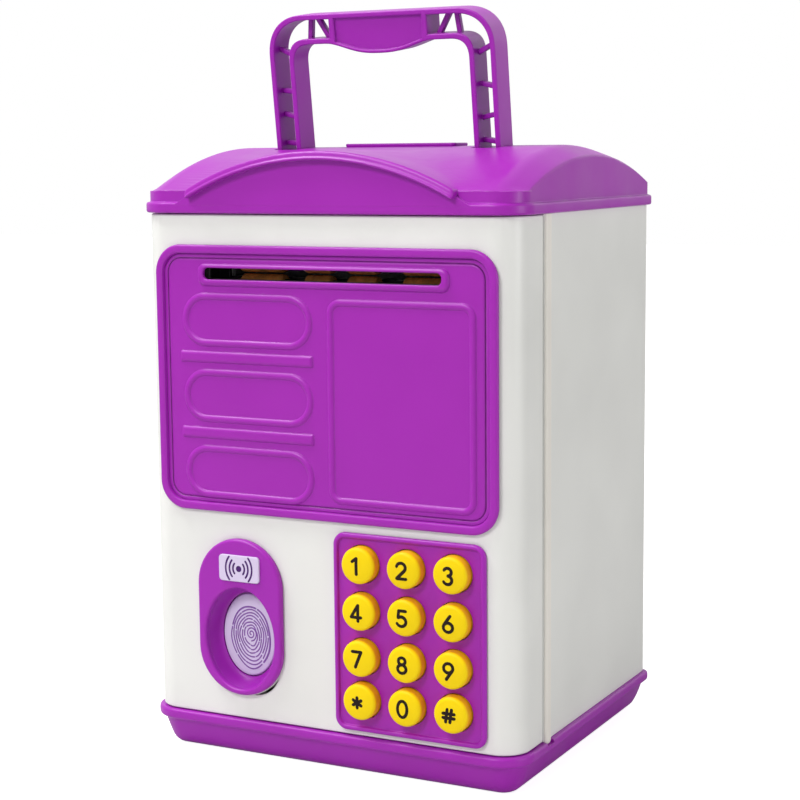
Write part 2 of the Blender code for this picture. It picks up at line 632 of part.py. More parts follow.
def door_shell(door):
    """The front shell: rounded front corners, a rolled left edge on the hinge and a right return."""
    steps = 8
    left = HINGE_X - HINGE_RADIUS
    outline = [(HALF_WIDTH, SEAM_Y)]
    outline += list(arc((HINGE_X, HINGE_Y), HINGE_RADIUS, 90, 180, steps))
    outline += list(arc((left + FRONT_RADIUS, -HALF_DEPTH + FRONT_RADIUS), FRONT_RADIUS, 180, 270, steps))
    outline += list(arc((HALF_WIDTH - FRONT_RADIUS, -HALF_DEPTH + FRONT_RADIUS),
                        FRONT_RADIUS, 270, 360, steps))
    shape = loft([[(x, y, z) for x, y in outline] for z in (DOOR_BOTTOM_Z, DOOR_TOP_Z)])
    shell = put("door_shell", shape, WHITE, (HINGE_X, HINGE_Y, DOOR_BOTTOM_Z), door)

    inner = FRONT_RADIUS - WALL
    x0, x1, y0 = left + WALL, HALF_WIDTH - WALL, -HALF_DEPTH + WALL
    hollow = list(arc((x1 - inner, y0 + inner), inner, -90, 0, steps))
    hollow += [(x1, SEAM_Y + 5), (HINGE_X + HINGE_RADIUS + 1, SEAM_Y + 5),
               (HINGE_X + HINGE_RADIUS + 1, HINGE_Y - 1), (x0 + 1.0, HINGE_Y - HINGE_RADIUS - 0.6)]
    hollow += list(arc((x0 + inner, y0 + inner), inner, 180, 270, steps))
    levels = (DOOR_BOTTOM_Z + 2, DOOR_TOP_Z - 2)
    combine(shell, "DIFFERENCE", loft([[(x, y, z) for x, y in hollow] for z in levels]))
    for z0, z1 in ((DOOR_BOTTOM_Z - 1, DOOR_BOTTOM_Z + PIN_REACH + 0.5),
                   (DOOR_TOP_Z - PIN_REACH - 0.5, DOOR_TOP_Z + 1)):
        combine(shell, "DIFFERENCE", rod(
            (HINGE_X, HINGE_Y, z0), (HINGE_X, HINGE_Y, z1), PIN_RADIUS + CLEARANCE))

    through = (DOOR_FACE_Y - 3, DOOR_BACK_Y + 1)
    combine(shell, "DIFFERENCE", box(
        -SLOT_HALF_LENGTH, SLOT_HALF_LENGTH, *through,
        SLOT_Z - SLOT_HALF_HEIGHT, SLOT_Z + SLOT_HALF_HEIGHT))
    combine(shell, "DIFFERENCE", oval(
        SCAN_X, PAD_Z, CUP_HALF_WIDTH + 1, CUP_HALF_HEIGHT + 1, *through))
    for _, x, z in key_places():
        combine(shell, "DIFFERENCE", rod(
            (x, through[0], z), (x, through[1], z), KEY_RADIUS + CLEARANCE, ROUND))


def key_places():
    for index, name in enumerate(KEY_NAMES):
        yield f"key_{name}", KEY_COLUMNS[index % 3], KEY_ROWS[index // 3]


def front_panels(door):
    """The raised panels: a field inside a rim, with collars, outlines and openings."""
    slot_panel = put("slot_panel", rounded_panel(
        SLOT_PANEL, SLOT_PANEL_RADIUS, PANEL_Y, PANEL_BACK_Y), PURPLE, (0, PANEL_BACK_Y, SLOT_Z), door)
    combine(slot_panel, "DIFFERENCE", rounded_panel(
        SLOT_PANEL, SLOT_PANEL_RADIUS, PANEL_Y - 1, FIELD_Y, RIM))
    collar = (-42.8, 42.8, SLOT_Z - 3.4, SLOT_Z + 3.4)
    combine(slot_panel, "UNION", rounded_panel(collar, 1.4, PANEL_Y, FIELD_Y + 0.3))
    ridges = [rounded_panel((-49.4, -3.6, z - 7.8, z + 7.8), 7.6, PANEL_Y + 0.2, FIELD_Y + 0.3)
              for z in (140.2, 116.3, 92.2)]
    ridges.append(rounded_panel((2.2, 51.4, 85.6, 147.5), 3.0, PANEL_Y + 0.2, FIELD_Y + 0.3))
    combine(slot_panel, "UNION", *ridges)
    combine(slot_panel, "DIFFERENCE", box(
        -SLOT_HALF_LENGTH, SLOT_HALF_LENGTH, PANEL_Y - 2, PANEL_BACK_Y + 1,
        SLOT_Z - SLOT_HALF_HEIGHT, SLOT_Z + SLOT_HALF_HEIGHT))

    keypad = put("keypad_panel", rounded_panel(
        KEY_PANEL, KEY_PANEL_RADIUS, PANEL_Y, PANEL_BACK_Y), PURPLE, (29.1, PANEL_BACK_Y, 46.0), door)
    combine(keypad, "DIFFERENCE", rounded_panel(
        KEY_PANEL, KEY_PANEL_RADIUS, PANEL_Y - 1, FIELD_Y, 1.6))
    for _, x, z in key_places():
        combine(keypad, "DIFFERENCE", rod(
            (x, PANEL_Y - 1, z), (x, PANEL_BACK_Y + 1, z), KEY_RADIUS + CLEARANCE, ROUND))


def keys(door):
    """Twelve keys: a button through the panel and a flange that keeps it in."""
    depth = KEY_FLANGE_Y - KEY_FRONT_Y
    profile = [(0.0, KEY_RADIUS - 1.1), (0.35, KEY_RADIUS - 0.4), (1.2, KEY_RADIUS),
               (depth, KEY_RADIUS), (depth, KEY_RADIUS + 1.1), (depth + 1.0, KEY_RADIUS + 1.1)]
    for name, x, z in key_places():
        front = (x, KEY_FRONT_Y, z)
        put(name, turned(profile, front, (0, 1, 0)), YELLOW, front, door)


def fingerprint(door):
    """A stadium bezel with a scooped cup, a press button at its bottom and a small label."""
    sides = (SCAN_X - SCAN_HALF_WIDTH, SCAN_X + SCAN_HALF_WIDTH,
             SCAN_Z - SCAN_HALF_HEIGHT, SCAN_Z + SCAN_HALF_HEIGHT)
    bezel = put("fingerprint_bezel", rounded_panel(
        sides, SCAN_HALF_WIDTH - 0.1, SCAN_FRONT_Y, PANEL_BACK_Y), PURPLE,
        (SCAN_X, PANEL_BACK_Y, SCAN_Z), door)
    cup_back = PAD_FRONT_Y + 2.0
    combine(bezel, "UNION", oval(
        SCAN_X, PAD_Z, CUP_HALF_WIDTH + 0.6, CUP_HALF_HEIGHT + 0.6, PANEL_BACK_Y - 0.5, cup_back))
    taper = (PAD_HALF_WIDTH + 0.4) / CUP_HALF_WIDTH
    combine(bezel, "DIFFERENCE", oval(
        SCAN_X, PAD_Z, CUP_HALF_WIDTH, CUP_HALF_HEIGHT, SCAN_FRONT_Y - 0.5, PAD_FRONT_Y + 0.5,
        taper=taper))
    combine(bezel, "DIFFERENCE", oval(
        SCAN_X, PAD_Z, PAD_HALF_WIDTH + GAP, PAD_HALF_HEIGHT + GAP, PAD_FRONT_Y - 1, cup_back + 1))

    shape = oval(SCAN_X, PAD_Z, PAD_HALF_WIDTH, PAD_HALF_HEIGHT, PAD_FRONT_Y, cup_back + 1.3)
    button = put("fingerprint_button", shape, LILAC, (SCAN_X, PAD_FRONT_Y, PAD_Z), door)
    combine(button, "UNION", oval(
        SCAN_X, PAD_Z, PAD_HALF_WIDTH + 1.5, PAD_HALF_HEIGHT + 1.5, cup_back + GAP, cup_back + 1.3))
    put("signal_label", rounded_panel(LABEL, 1.2, SCAN_FRONT_Y - 0.7, SCAN_FRONT_Y - GAP), LILAC,
        (LABEL[0], SCAN_FRONT_Y, LABEL[2]), door)


def electronics(door):
    """The boards behind the front, the speaker and the lead to the motor."""
    put("key_membrane", box(6.0, 52.6, -47.9, -47.0, 17.0, 75.0), DARK_RUBBER, (29.1, -47.0, 46.0), door)
    put("keypad_board", box(5.0, 54.0, -46.7, -45.1, 16.0, 78.0), BOARD, (29.1, -45.1, 46.0), door)
    board = put("fingerprint_board", box(-44.0, -16.0, -43.4, -41.8, 24.0, 56.0), BOARD,
                (SCAN_X, -41.8, PAD_Z), door)
    combine(board, "UNION", rod((SCAN_X, -44.6, PAD_Z), (SCAN_X, -43.0, PAD_Z), 1.8))
    speaker = [(0.0, 13.5), (1.2, 14.0), (2.0, 14.0), (2.0, 11.0), (4.6, 7.0), (7.0, 7.0)]
    centre = (26.0, -38.4, 102.0)
    put("speaker", turned(speaker, centre, (0, -1, 0), 28), BLACK, centre, door)

    data = bpy.data.curves.new("motor_lead", "CURVE")
    data.dimensions = "3D"
    data.bevel_depth = 0.9 * MM
    data.bevel_resolution = 2
    data.use_fill_caps = True
    path = [(10.0, -44.0, 72.0), (8.0, -43.2, 84.0), (2.0, -42.8, 98.0), (-4.0, -43.0, 112.0),
            (-3.0, -44.0, 122.0), (2.0, -44.6, 126.0), (7.2, -44.6, 128.0)]
    spline = data.splines.new("POLY")
    spline.points.add(len(path) - 1)
    for point, place in zip(spline.points, path):
        point.co = (*(Vector(place) * MM), 1.0)
    data.materials.append(material(WIRE))
    lead = bpy.data.objects.new("motor_lead", data)
    PARTS.objects.link(lead)
    lead.parent = door
    lead.matrix_parent_inverse = Matrix.Translation(door.location).inverted()


def note_feed(door):
    """Two rollers in an open housing, driven through a belt by a motor below them."""
    low, high = SLOT_Z - 9.0, SLOT_Z + 9.6
    half = ROLLER_HALF_LENGTH + 1.5
    housing = put("roller_housing", box(-half, half, DOOR_BACK_Y + GAP, -38.5, low, high), BLACK,
                  (0, FEED_Y, SLOT_Z), door)
    combine(housing, "DIFFERENCE", box(-half + 1.5, half - 1.5, DOOR_BACK_Y + 1.6, -39.8,
                                       low + 1.2, high - 1.2))
    combine(housing, "DIFFERENCE", box(
        -SLOT_HALF_LENGTH, SLOT_HALF_LENGTH, DOOR_BACK_Y - 1, -30,
        SLOT_Z - SLOT_HALF_HEIGHT, SLOT_Z + SLOT_HALF_HEIGHT))
    for z in (DRIVE_Z, IDLER_Z):
        ends = ((-half - 2, FEED_Y, z), (half + 2, FEED_Y, z))
        combine(housing, "DIFFERENCE", rod(*ends, SHAFT_RADIUS + CLEARANCE))

    def roller(name, z, radius, end_x):
        """A shaft with rubber rings spaced along it."""
        start = -half - 0.8
        profile = [(start, SHAFT_RADIUS)]
        for low_x, high_x in ROLLER_RINGS:
            profile += [(low_x, SHAFT_RADIUS), (low_x, radius), (high_x, radius), (high_x, SHAFT_RADIUS)]
        if end_x > half + 2:
            rim = DRIVE_PULLEY_RADIUS
            profile += [(PULLEY_X - 1.6, SHAFT_RADIUS), (PULLEY_X - 1.6, rim), (PULLEY_X, rim - 1.0),
                        (PULLEY_X + 1.6, rim), (PULLEY_X + 1.6, SHAFT_RADIUS)]
        profile.append((end_x, SHAFT_RADIUS))
        put(name, turned(profile, (0, FEED_Y, z), (1, 0, 0), 16), RUBBER, (0, FEED_Y, z), door)

    roller("drive_roller", DRIVE_Z, DRIVE_RADIUS, PULLEY_X + 2.6)
    roller("idler_roller", IDLER_Z, IDLER_RADIUS, half + 0.8)

    motor = [(0.0, 5.4), (0.8, 6.0), (24.0, 6.0), (24.8, 5.4), (24.8, 2.5), (26.0, 2.5)]
    start = (PULLEY_X - 29.0, FEED_Y + 0.2, MOTOR_Z)
    put("feed_motor", turned(motor, start, (1, 0, 0), ROUND), STEEL, start, door)
    rim = MOTOR_PULLEY_RADIUS
    pulley = [(-1.8, rim), (0.0, rim - 0.7), (1.8, rim)]
    place = (PULLEY_X, FEED_Y, MOTOR_Z)
    put("motor_pulley", turned(pulley, place, (1, 0, 0), 16), BLACK, place, door)

    belt_radii = (DRIVE_PULLEY_RADIUS + 0.4, MOTOR_PULLEY_RADIUS + 0.4)
    rings = []
    for x, extra in ((-0.8, 0.0), (-0.8, 1.0), (0.8, 1.0), (0.8, 0.0)):
        loop = list(arc((FEED_Y, DRIVE_Z), belt_radii[0] + extra, 0, 180, 12))
        loop += list(arc((FEED_Y, MOTOR_Z), belt_radii[1] + extra, 180, 360, 12))
        rings.append([(PULLEY_X + x, y, z) for y, z in loop])
    shape = loft(rings)
    for face in [f for f in shape.faces if len(f.verts) > 4]:
        shape.faces.remove(face)
    edges = [e for e in shape.edges if e.is_boundary]
    bmesh.ops.bridge_loops(shape, edges=edges)
    put("drive_belt", shape, DARK_RUBBER, (PULLEY_X, FEED_Y, DRIVE_Z), door)


def inner_cover(door):
    """The plate that closes the back of the door, and the lock's keeper on it."""
    cover = put("door_inner_cover", box(-55.0, 61.8, -37.9, -36.3, 17.0, 169.5), WHITE,
                (HINGE_X, HINGE_Y, 93.0), door)
    combine(cover, "DIFFERENCE", box(
        -SLOT_HALF_LENGTH, SLOT_HALF_LENGTH, -40, -30,
        SLOT_Z - SLOT_HALF_HEIGHT, SLOT_Z + SLOT_HALF_HEIGHT))
    for x, z in ((0, 0), (6, 0), (-6, 0), (3, 5.2), (-3, 5.2), (3, -5.2), (-3, -5.2)):
        combine(cover, "DIFFERENCE", rod((26 + x, -40, 102 + z), (26 + x, -34, 102 + z), 1.4, 8))
    keeper_high = EAVES_Z - 3.2
    keeper = put("latch_keeper", box(LOCK_X - 6, LOCK_X + 6, -36.0, LOCK_Y + 5.5,
                                     keeper_high - 2.0, keeper_high), STEEL,
                 (LOCK_X, -36.0, keeper_high), door)
    combine(keeper, "UNION", box(LOCK_X - 6, LOCK_X + 6, -36.0, -34.4, keeper_high - 14, keeper_high))
    combine(keeper, "DIFFERENCE", rod(
        (LOCK_X, LOCK_Y, keeper_high - 5), (LOCK_X, LOCK_Y, keeper_high + 1), BOLT_RADIUS + 0.8))


clear_scene()
PARTS = new_collection("savings_bank")
CUTTERS = new_collection("cutters")
base()
batteries()
body()
roof()
top_plate()
coin_chute()
hinge_pins()
lock()
lean(handle())
DOOR_AXIS = axis_empty("door_hinge_axis", (HINGE_X, HINGE_Y, 93.0))
door_shell(DOOR_AXIS)
front_panels(DOOR_AXIS)
keys(DOOR_AXIS)
fingerprint(DOOR_AXIS)
electronics(DOOR_AXIS)
note_feed(DOOR_AXIS)
inner_cover(DOOR_AXIS)
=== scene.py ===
"""Looks of the toy savings bank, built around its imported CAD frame.

Shapes are made in millimetres in the row frame, and become metres as each piece is finished.
X runs right, Y runs from the door to the back, and Z runs up.
Driving sizes are read from the frame's nodes. Detail sizes are named below.
"""

import json
import random
from math import cos, dist, pi, radians, sin, sqrt, tan

import bmesh
import bpy
from mathutils import Matrix, Vector

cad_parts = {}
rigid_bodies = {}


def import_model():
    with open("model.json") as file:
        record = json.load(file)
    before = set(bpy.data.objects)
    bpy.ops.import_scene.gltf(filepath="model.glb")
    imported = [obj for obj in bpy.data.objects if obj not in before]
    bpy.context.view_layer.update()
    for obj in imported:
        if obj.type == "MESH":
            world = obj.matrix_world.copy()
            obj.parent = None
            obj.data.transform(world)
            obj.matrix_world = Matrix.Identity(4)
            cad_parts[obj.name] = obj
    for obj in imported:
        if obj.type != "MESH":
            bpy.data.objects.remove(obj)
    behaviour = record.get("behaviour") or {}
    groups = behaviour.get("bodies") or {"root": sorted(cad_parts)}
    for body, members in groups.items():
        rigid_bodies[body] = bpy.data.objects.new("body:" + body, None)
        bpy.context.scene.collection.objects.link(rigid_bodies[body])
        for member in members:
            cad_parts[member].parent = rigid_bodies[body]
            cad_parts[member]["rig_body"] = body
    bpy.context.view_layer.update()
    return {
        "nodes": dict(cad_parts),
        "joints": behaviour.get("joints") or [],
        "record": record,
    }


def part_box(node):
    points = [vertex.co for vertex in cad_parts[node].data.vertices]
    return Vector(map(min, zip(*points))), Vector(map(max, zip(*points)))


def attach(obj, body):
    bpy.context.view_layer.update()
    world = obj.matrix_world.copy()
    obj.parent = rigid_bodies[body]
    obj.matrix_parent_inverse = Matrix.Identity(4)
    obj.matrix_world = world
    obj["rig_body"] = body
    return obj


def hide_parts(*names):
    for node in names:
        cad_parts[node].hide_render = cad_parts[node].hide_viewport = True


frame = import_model()

MM = 0.001
SHARP_ANGLE = 50
RIGHT, BACK, UP = (1, 0, 0), (0, 1, 0), (0, 0, 1)


class Sides:
    """The box of a CAD node, in millimetres."""

    def __init__(self, node):
        low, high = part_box(node)
        self.x0, self.y0, self.z0 = (v / MM for v in low)
        self.x1, self.y1, self.z1 = (v / MM for v in high)
        self.x, self.y, self.z = ((a + b) / 2 / MM for a, b in zip(low, high))
        self.face = (self.x0, self.x1, self.z0, self.z1)


def joint_place(name):
    joint = next(j for j in frame["joints"] if j["name"] == name)
    return Vector(joint["pos_m"]) / MM


# Boxes of the nodes that the new pieces are built round
DOOR = Sides("door_shell")
TRAY = Sides("base_tray")
ROOF = Sides("roof_cover")
SLOT_PANEL = Sides("slot_panel")
KEY_PANEL = Sides("keypad_panel")
BEZEL = Sides("fingerprint_bezel")
PAD = Sides("fingerprint_button")
LABEL = Sides("signal_label")
CHUTE = Sides("coin_chute")
HINGE = joint_place("door_hinge")
PIVOT = joint_place("handle_swing")
DRIVE = joint_place("drive_roller_spin")
IDLER = joint_place("idler_roller_spin")

# Plan of the case
HALF_WIDTH = DOOR.x1
HALF_DEPTH = -DOOR.y0
FRONT_RADIUS = 9.0
BACK_RADIUS = 2.0
WALL = 2.2
GAP = 0.3

# Roof
EAVES_Z = ROOF.z0
LIP_TOP_Z = EAVES_Z + 3.3
BAND_TOP_Z = EAVES_Z + 6.7
RIDGE_Z = ROOF.z1
LIP = 1.6
BAND = 0.3
VAULT_RADIUS = 118.0
VAULT_HALF_LENGTH = 58.5
GABLE_RADIUS = 130.0
GABLE_MIDDLE_Y = 4.2
GABLE_DROP = 3.2
ARCH_RADIUS = 95.4
ARCH_Z = EAVES_Z + 16.1
HOOD = 2.8
HOOD_FRONT_Y = ROOF.y0
HOOD_BACK_Y = -10.0
HOOD_END_Z = EAVES_Z + 4.7
KINK_X = 51.3
COLLAR_HALF_LENGTH = 19.9
COLLAR_X = 1.9
COIN_SLOT = (-16.5, 16.5, -1.9, 1.9)
LEG_SLOT_Y = (-13.2, 31.0)
SKIN = 2.2

# Front of the door and of the case behind it
SEAM_Y = DOOR.y1
HINGE_RADIUS = 4.0
HINGE_BORE = 1.55
FACE_Y = DOOR.y0
FIELD_Y = FACE_Y - 0.5
THROUGH_DOOR = (FACE_Y - 3, FACE_Y + WALL + 1)
BODY_FRONT_Y = -35.0
STRIP_DEPTH = 5.0
STRIP_PROUD = 0.9
STRIP_DROP = 1.2
SLOT_Z = 154.6
SLOT_HALF_HEIGHT = 1.8
SLOT_HALF_LENGTH = 41.2
NOTE_SLOT = (-SLOT_HALF_LENGTH, SLOT_HALF_LENGTH, SLOT_Z - SLOT_HALF_HEIGHT, SLOT_Z + SLOT_HALF_HEIGHT)
OUTLINE_HALF_WIDTH = 1.1
OUTLINE_HEIGHT = 0.6
PILL_ROWS = (140.2, 116.3, 92.2)
LEDGE_ROWS = (128.6, 104.6)
KEY_RADIUS = 5.7
KEY_EDGE = 1.25
KEY_FLANGE = 1.1
KEY_COLUMNS = (13.6, 29.1, 44.6)
KEY_ROWS = (67.5, 53.0, 38.6, 25.0)
KEY_NAMES = ("1", "2", "3", "4", "5", "6", "7", "8", "9", "star", "0", "hash")
DOME_RADIUS = 34.0
SIGN_HEIGHT = 5.0
SIGN_WIDTH = 5.4
SIGN_SHIFT = -0.35
SIGN_HALF_STROKE = 0.54
SCAN_RADIUS = (BEZEL.x1 - BEZEL.x0) / 2
CUP_HALF = (12.6, 16.4)
PAD_HALF = (9.8, 13.4)
PAD_FRONT_Y = PAD.y0
CUP_BACK_Y = PAD_FRONT_Y + 2.0

# Carry handle, as heights above its pivot while it stands upright
HANDLE_LEAN = 7.5
HANDLE_HALF_DEPTH = 4.9
LEG_OUTER = 40.2
LEG_INNER = 31.2
LEG_RAIL = 1.75
LEG_WINDOW_FOOT = 7.5
FOOT_RADIUS = 5.5
HANDLE_BORE = 1.8
HANDLE_TOP = 51.2
HANDLE_UNDERSIDE = 41.8
SHOULDER_X = 26.5
SHOULDER_H = 38.0
GRIP_HALF = 17.4
GRIP_REACH = 19.0
GRIP_DIP = 38.3
STRUT_HALF = 0.8
STRUT_HALF_DEPTH = 1.1
LUG_RELIEF = 0.5
LUG_REACH = 6.4

# Note feed: where its rubber rings run on both shafts, and where the belt's groove is
RINGS = ((-32.6, -17.6), (-9.6, -0.6), (5.4, 15.2), (24.4, 40.0))
SHAFT_RADIUS = 1.5
PULLEY_X = 49.0
RIB_PITCH = 1.5


# --- meshes

def loft(rings, ends=True):
    """A skin through rings of points, closed by flat ends or into a loop."""
    shape = bmesh.new()
    rows = [[shape.verts.new(point) for point in ring] for ring in rings]
    pairs = list(zip(rows, rows[1:]))
    if not ends:
        pairs.append((rows[-1], rows[0]))
    for low, high in pairs:
        for i in range(len(low)):
            j = (i + 1) % len(low)
            shape.faces.new((low[i], low[j], high[j], high[i]))
    if ends:
        shape.faces.new(rows[0][::-1])
        shape.faces.new(rows[-1])
    return shape


def flat(points, z):
    return [(x, y, z) for x, y in points]


def upright(points, y):
    return [(x, y, z) for x, z in points]


def column(points, z0, z1):
    """An outline in X and Y given a height."""
    return loft([flat(points, z) for z in (z0, z1)])


def panel(points, y0, y1):
    """An outline in X and Z given a thickness along Y."""
    return loft([upright(points, y) for y in (y0, y1)])


def box(x0, x1, y0, y1, z0, z1):
    return column([(x0, y0), (x1, y0), (x1, y1), (x0, y1)], z0, z1)


def spaced(start, end, steps):
    """Evenly spaced values from start to end."""
    return [start + (end - start) * i / steps for i in range(steps + 1)]


def arc(centre, radius, start, end, steps):
    """Points along an arc, with angles in degrees."""
    for angle in map(radians, spaced(start, end, steps)):
        yield centre[0] + radius * cos(angle), centre[1] + radius * sin(angle)


def rounded(x0, x1, y0, y1, front, back, steps=10):
    """A rectangle with rounded corners: right front, right back, left back, left front."""
    points = []
    for x, y, radius, start, right, up in (
            (x1, y0, front, -90, -1, 1), (x1, y1, back, 0, -1, -1),
            (x0, y1, back, 90, 1, -1), (x0, y0, front, 180, 1, 1)):
        points += arc((x + right * radius, y + up * radius), radius, start, start + 90, steps)
    return points


def plan(offset):
    """The case's outline seen from above, moved outward by an offset."""
    x, y = HALF_WIDTH + offset, HALF_DEPTH + offset
    return rounded(-x, x, -y, y, FRONT_RADIUS + offset, max(BACK_RADIUS + offset, 0.5))


def stacked(levels):
    """A loft of the case's outline through (height, offset) pairs."""
    return loft([flat(plan(offset), z) for z, offset in levels])


def block(sides, radius, profile, steps=10, lay=upright, shrink=1.0, ends=True):
    """A rounded rectangle lofted through (inset, place) pairs. Its corners shrink with the inset."""
    x0, x1, v0, v1 = sides
    rings = []
    for inset, place in profile:
        r = max(radius - inset * shrink, 0.05)
        rings.append(lay(rounded(x0 + inset, x1 - inset, v0 + inset, v1 - inset, r, r, steps), place))
    return loft(rings, ends)


def ridge(sides, radius, half_width, height, y):
    """A rounded ridge round a rounded rectangle, proud of the plane at y."""
    profile = [(half_width, y + 0.12)]
    for a in (radians(d) for d in range(-90, 91, 15)):
        rise = height * cos(a) ** 1.5 if abs(a) < 1.5 else 0.0
        profile.append((-half_width * sin(a), y - rise))
    profile.append((-half_width, y + 0.12))
    return block(sides, radius, profile, ends=False)


def span(side, inner, outer):
    """A stretch of X on the left (-1) or right (1) side, from low to high."""
    return sorted((side * inner, side * outer))


def circle(segments):
    return [2 * pi * i / segments for i in range(segments)]


def oval(x, z, profile, segments=72):
    """An elliptical plug along Y through (half width, half height, y) triples."""
    return loft([upright([(x + w * cos(a), z + h * sin(a)) for a in circle(segments)], y)
                 for w, h, y in profile])


def scanner_oval(half_sizes, profile):
    """An elliptical plug on the scanner's middle through (growth, y) pairs."""
    width, height = half_sizes
    return oval(BEZEL.x, PAD.z, [(width + grow, height + grow, y) for grow, y in profile])


def turned(profile, origin, axis, segments=48):
    """A solid of revolution from (distance along the axis, radius) pairs."""
    turn = Vector(axis).to_track_quat("Z", "Y").to_matrix()
    rings = []
    for along, radius in profile:
        ring = [Vector((radius * cos(a), radius * sin(a), along)) for a in circle(segments)]
        rings.append([turn @ point + Vector(origin) for point in ring])
    return loft(rings)


def rod(start, end, radius):
    start, end = Vector(start), Vector(end)
    return turned([(0.0, radius), ((end - start).length, radius)], start, end - start, 32)


def plate(loops, half_thickness, radius):
    """A plate in X and Z with rounded edges, from its outer loop and the loops of its holes."""
    data = bpy.data.curves.new("plate", "CURVE")
    data.dimensions = "2D"
    data.fill_mode = "BOTH"
    data.extrude = half_thickness - radius
    data.bevel_depth = radius
    data.bevel_resolution = 2
    data.offset = -radius
    for index, loop in enumerate(loops):
        area = sum(a[0] * b[1] - b[0] * a[1] for a, b in zip(loop, loop[1:] + loop[:1]))
        if (area > 0) != (index == 0):
            loop = loop[::-1]
        spline = data.splines.new("POLY")
        spline.points.add(len(loop) - 1)
        for point, (x, z) in zip(spline.points, loop):
            point.co = (x, z, 0.0, 1.0)
        spline.use_cyclic_u = True
    item = new_object("plate", data)
    shape = bmesh.new()
    shape.from_mesh(evaluated_mesh(item))
    bpy.data.objects.remove(item)
    bmesh.ops.remove_doubles(shape, verts=shape.verts, dist=0.002)
    bmesh.ops.rotate(shape, matrix=Matrix.Rotation(radians(90), 3, "X"), verts=shape.verts)
    return shape


def ribbon(points, half_width, height, closed=False):
    """A flattened line of ink along points on a surface that faces -Y."""
    points = [Vector(p) for p in points]
    outward = Vector((0.0, -1.0, 0.0))
    before = [points[-1 if closed else 0], *points[:-1]]
    after = [*points[1:], points[0 if closed else -1]]
    ways = [(b - a).normalized() for a, b in zip(before, after)]
    stations = [(point, way, 1.0) for point, way in zip(points, ways)]
    if not closed:
        tip = ((0.95, 0.3), (0.7, 0.72))
        start = [(points[0] - ways[0] * half_width * reach, ways[0], grow) for reach, grow in tip]
        end = [(points[-1] + ways[-1] * half_width * reach, ways[-1], grow) for reach, grow in tip[::-1]]
        stations = start + stations + end
    rings = []
    for point, way, grow in stations:
        across = way.cross(outward).normalized() * half_width * grow
        rings.append([point + across * cos(a) + outward * height * sin(a)
                      for a in map(radians, range(0, 360, 45))])
    return loft(rings, ends=not closed)


def gather(shapes):
    """One bmesh from several, each of which stays a closed body."""
    whole = bmesh.new()
    for shape in shapes:
        mesh = bpy.data.meshes.new("gather")
        bmesh.ops.recalc_face_normals(shape, faces=shape.faces)
        shape.to_mesh(mesh)
        shape.free()
        whole.from_mesh(mesh)
        bpy.data.meshes.remove(mesh)
    return whole


# --- pieces

def new_object(name, data):
    item = bpy.data.objects.new(name, data)
    bpy.context.scene.collection.objects.link(item)
    return item


def evaluated_mesh(item):
    bpy.context.view_layer.update()
    graph = bpy.context.evaluated_depsgraph_get()
    return bpy.data.meshes.new_from_object(item.evaluated_get(graph))


def solid(shape):
    """An object in millimetres from a bmesh. An object stays as it is."""
    if isinstance(shape, bpy.types.Object):
        return shape
    bmesh.ops.recalc_face_normals(shape, faces=shape.faces)
    mesh = bpy.data.meshes.new("shape")
    shape.to_mesh(mesh)
    shape.free()
    return new_object("shape", mesh)


def apply_steps(item):
    """Replaces an object's mesh by what its modifiers make of it."""
    mesh = evaluated_mesh(item)
    item.modifiers.clear()
    item.data = mesh
    return item


def combine(shape, operation, others):
    """An object that is a shape cut by, joined to or limited to others."""
    item, *tools = map(solid, (shape, *others))
    for tool in tools:
        step = item.modifiers.new("combine", "BOOLEAN")
        step.operation = operation
        step.solver = "EXACT"
        step.object = tool
    apply_steps(item)
    for tool in tools:
        bpy.data.objects.remove(tool)
    return item


def cut(shape, *others):
    return combine(shape, "DIFFERENCE", others)


def join(shape, *others):
    return combine(shape, "UNION", others)


def soften(shape, width, angle=35):
    """Rounds the edges that are sharper than an angle."""
    item = solid(shape)
    step = item.modifiers.new("soften", "BEVEL")
    step.width = width
    step.segments = 2
    step.limit_method = "ANGLE"
    step.angle_limit = radians(angle)
    return apply_steps(item)


def weld(shape, distance, angle):
    """Joins points closer than a distance, and faces flat within an angle."""
    bmesh.ops.remove_doubles(shape, verts=shape.verts, dist=distance)
    bmesh.ops.dissolve_limit(
        shape, angle_limit=radians(angle), verts=shape.verts, edges=shape.edges)


def clean(item):
    """Removes the slivers and needless edges that a cut left behind."""
    shape = bmesh.new()
    shape.from_mesh(item.data)
    weld(shape, 0.004, 0.6)
    shape.to_mesh(item.data)
    shape.free()
    return item


def finish(shape, name, look, body, *nodes):
    """Scales a piece to metres, gives it its look, and puts it on the body that carries it."""
    item = solid(shape)
    slot, material = look
    item.name = name
    item.data.name = name
    item.data.transform(Matrix.Scale(MM, 4))
    item.data.materials.clear()
    item.data.materials.append(material)
    item.data.shade_smooth()
    item.data.set_sharp_from_angle(angle=radians(SHARP_ANGLE))
    step = item.modifiers.new("even_shading", "WEIGHTED_NORMAL")
    step.keep_sharp = True
    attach(item, body)
    if nodes:
        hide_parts(*nodes)


def refine(node, look, width):
    """A CAD node's own shape with its edges rounded."""
    source = frame["nodes"][node]
    shape = bmesh.new()
    shape.from_mesh(source.data)
    bmesh.ops.scale(shape, vec=(1 / MM,) * 3, verts=shape.verts)
    weld(shape, 0.003, 1.0)
    finish(soften(shape, width), f"{node}_shape", look, source["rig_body"], node)


# --- materials

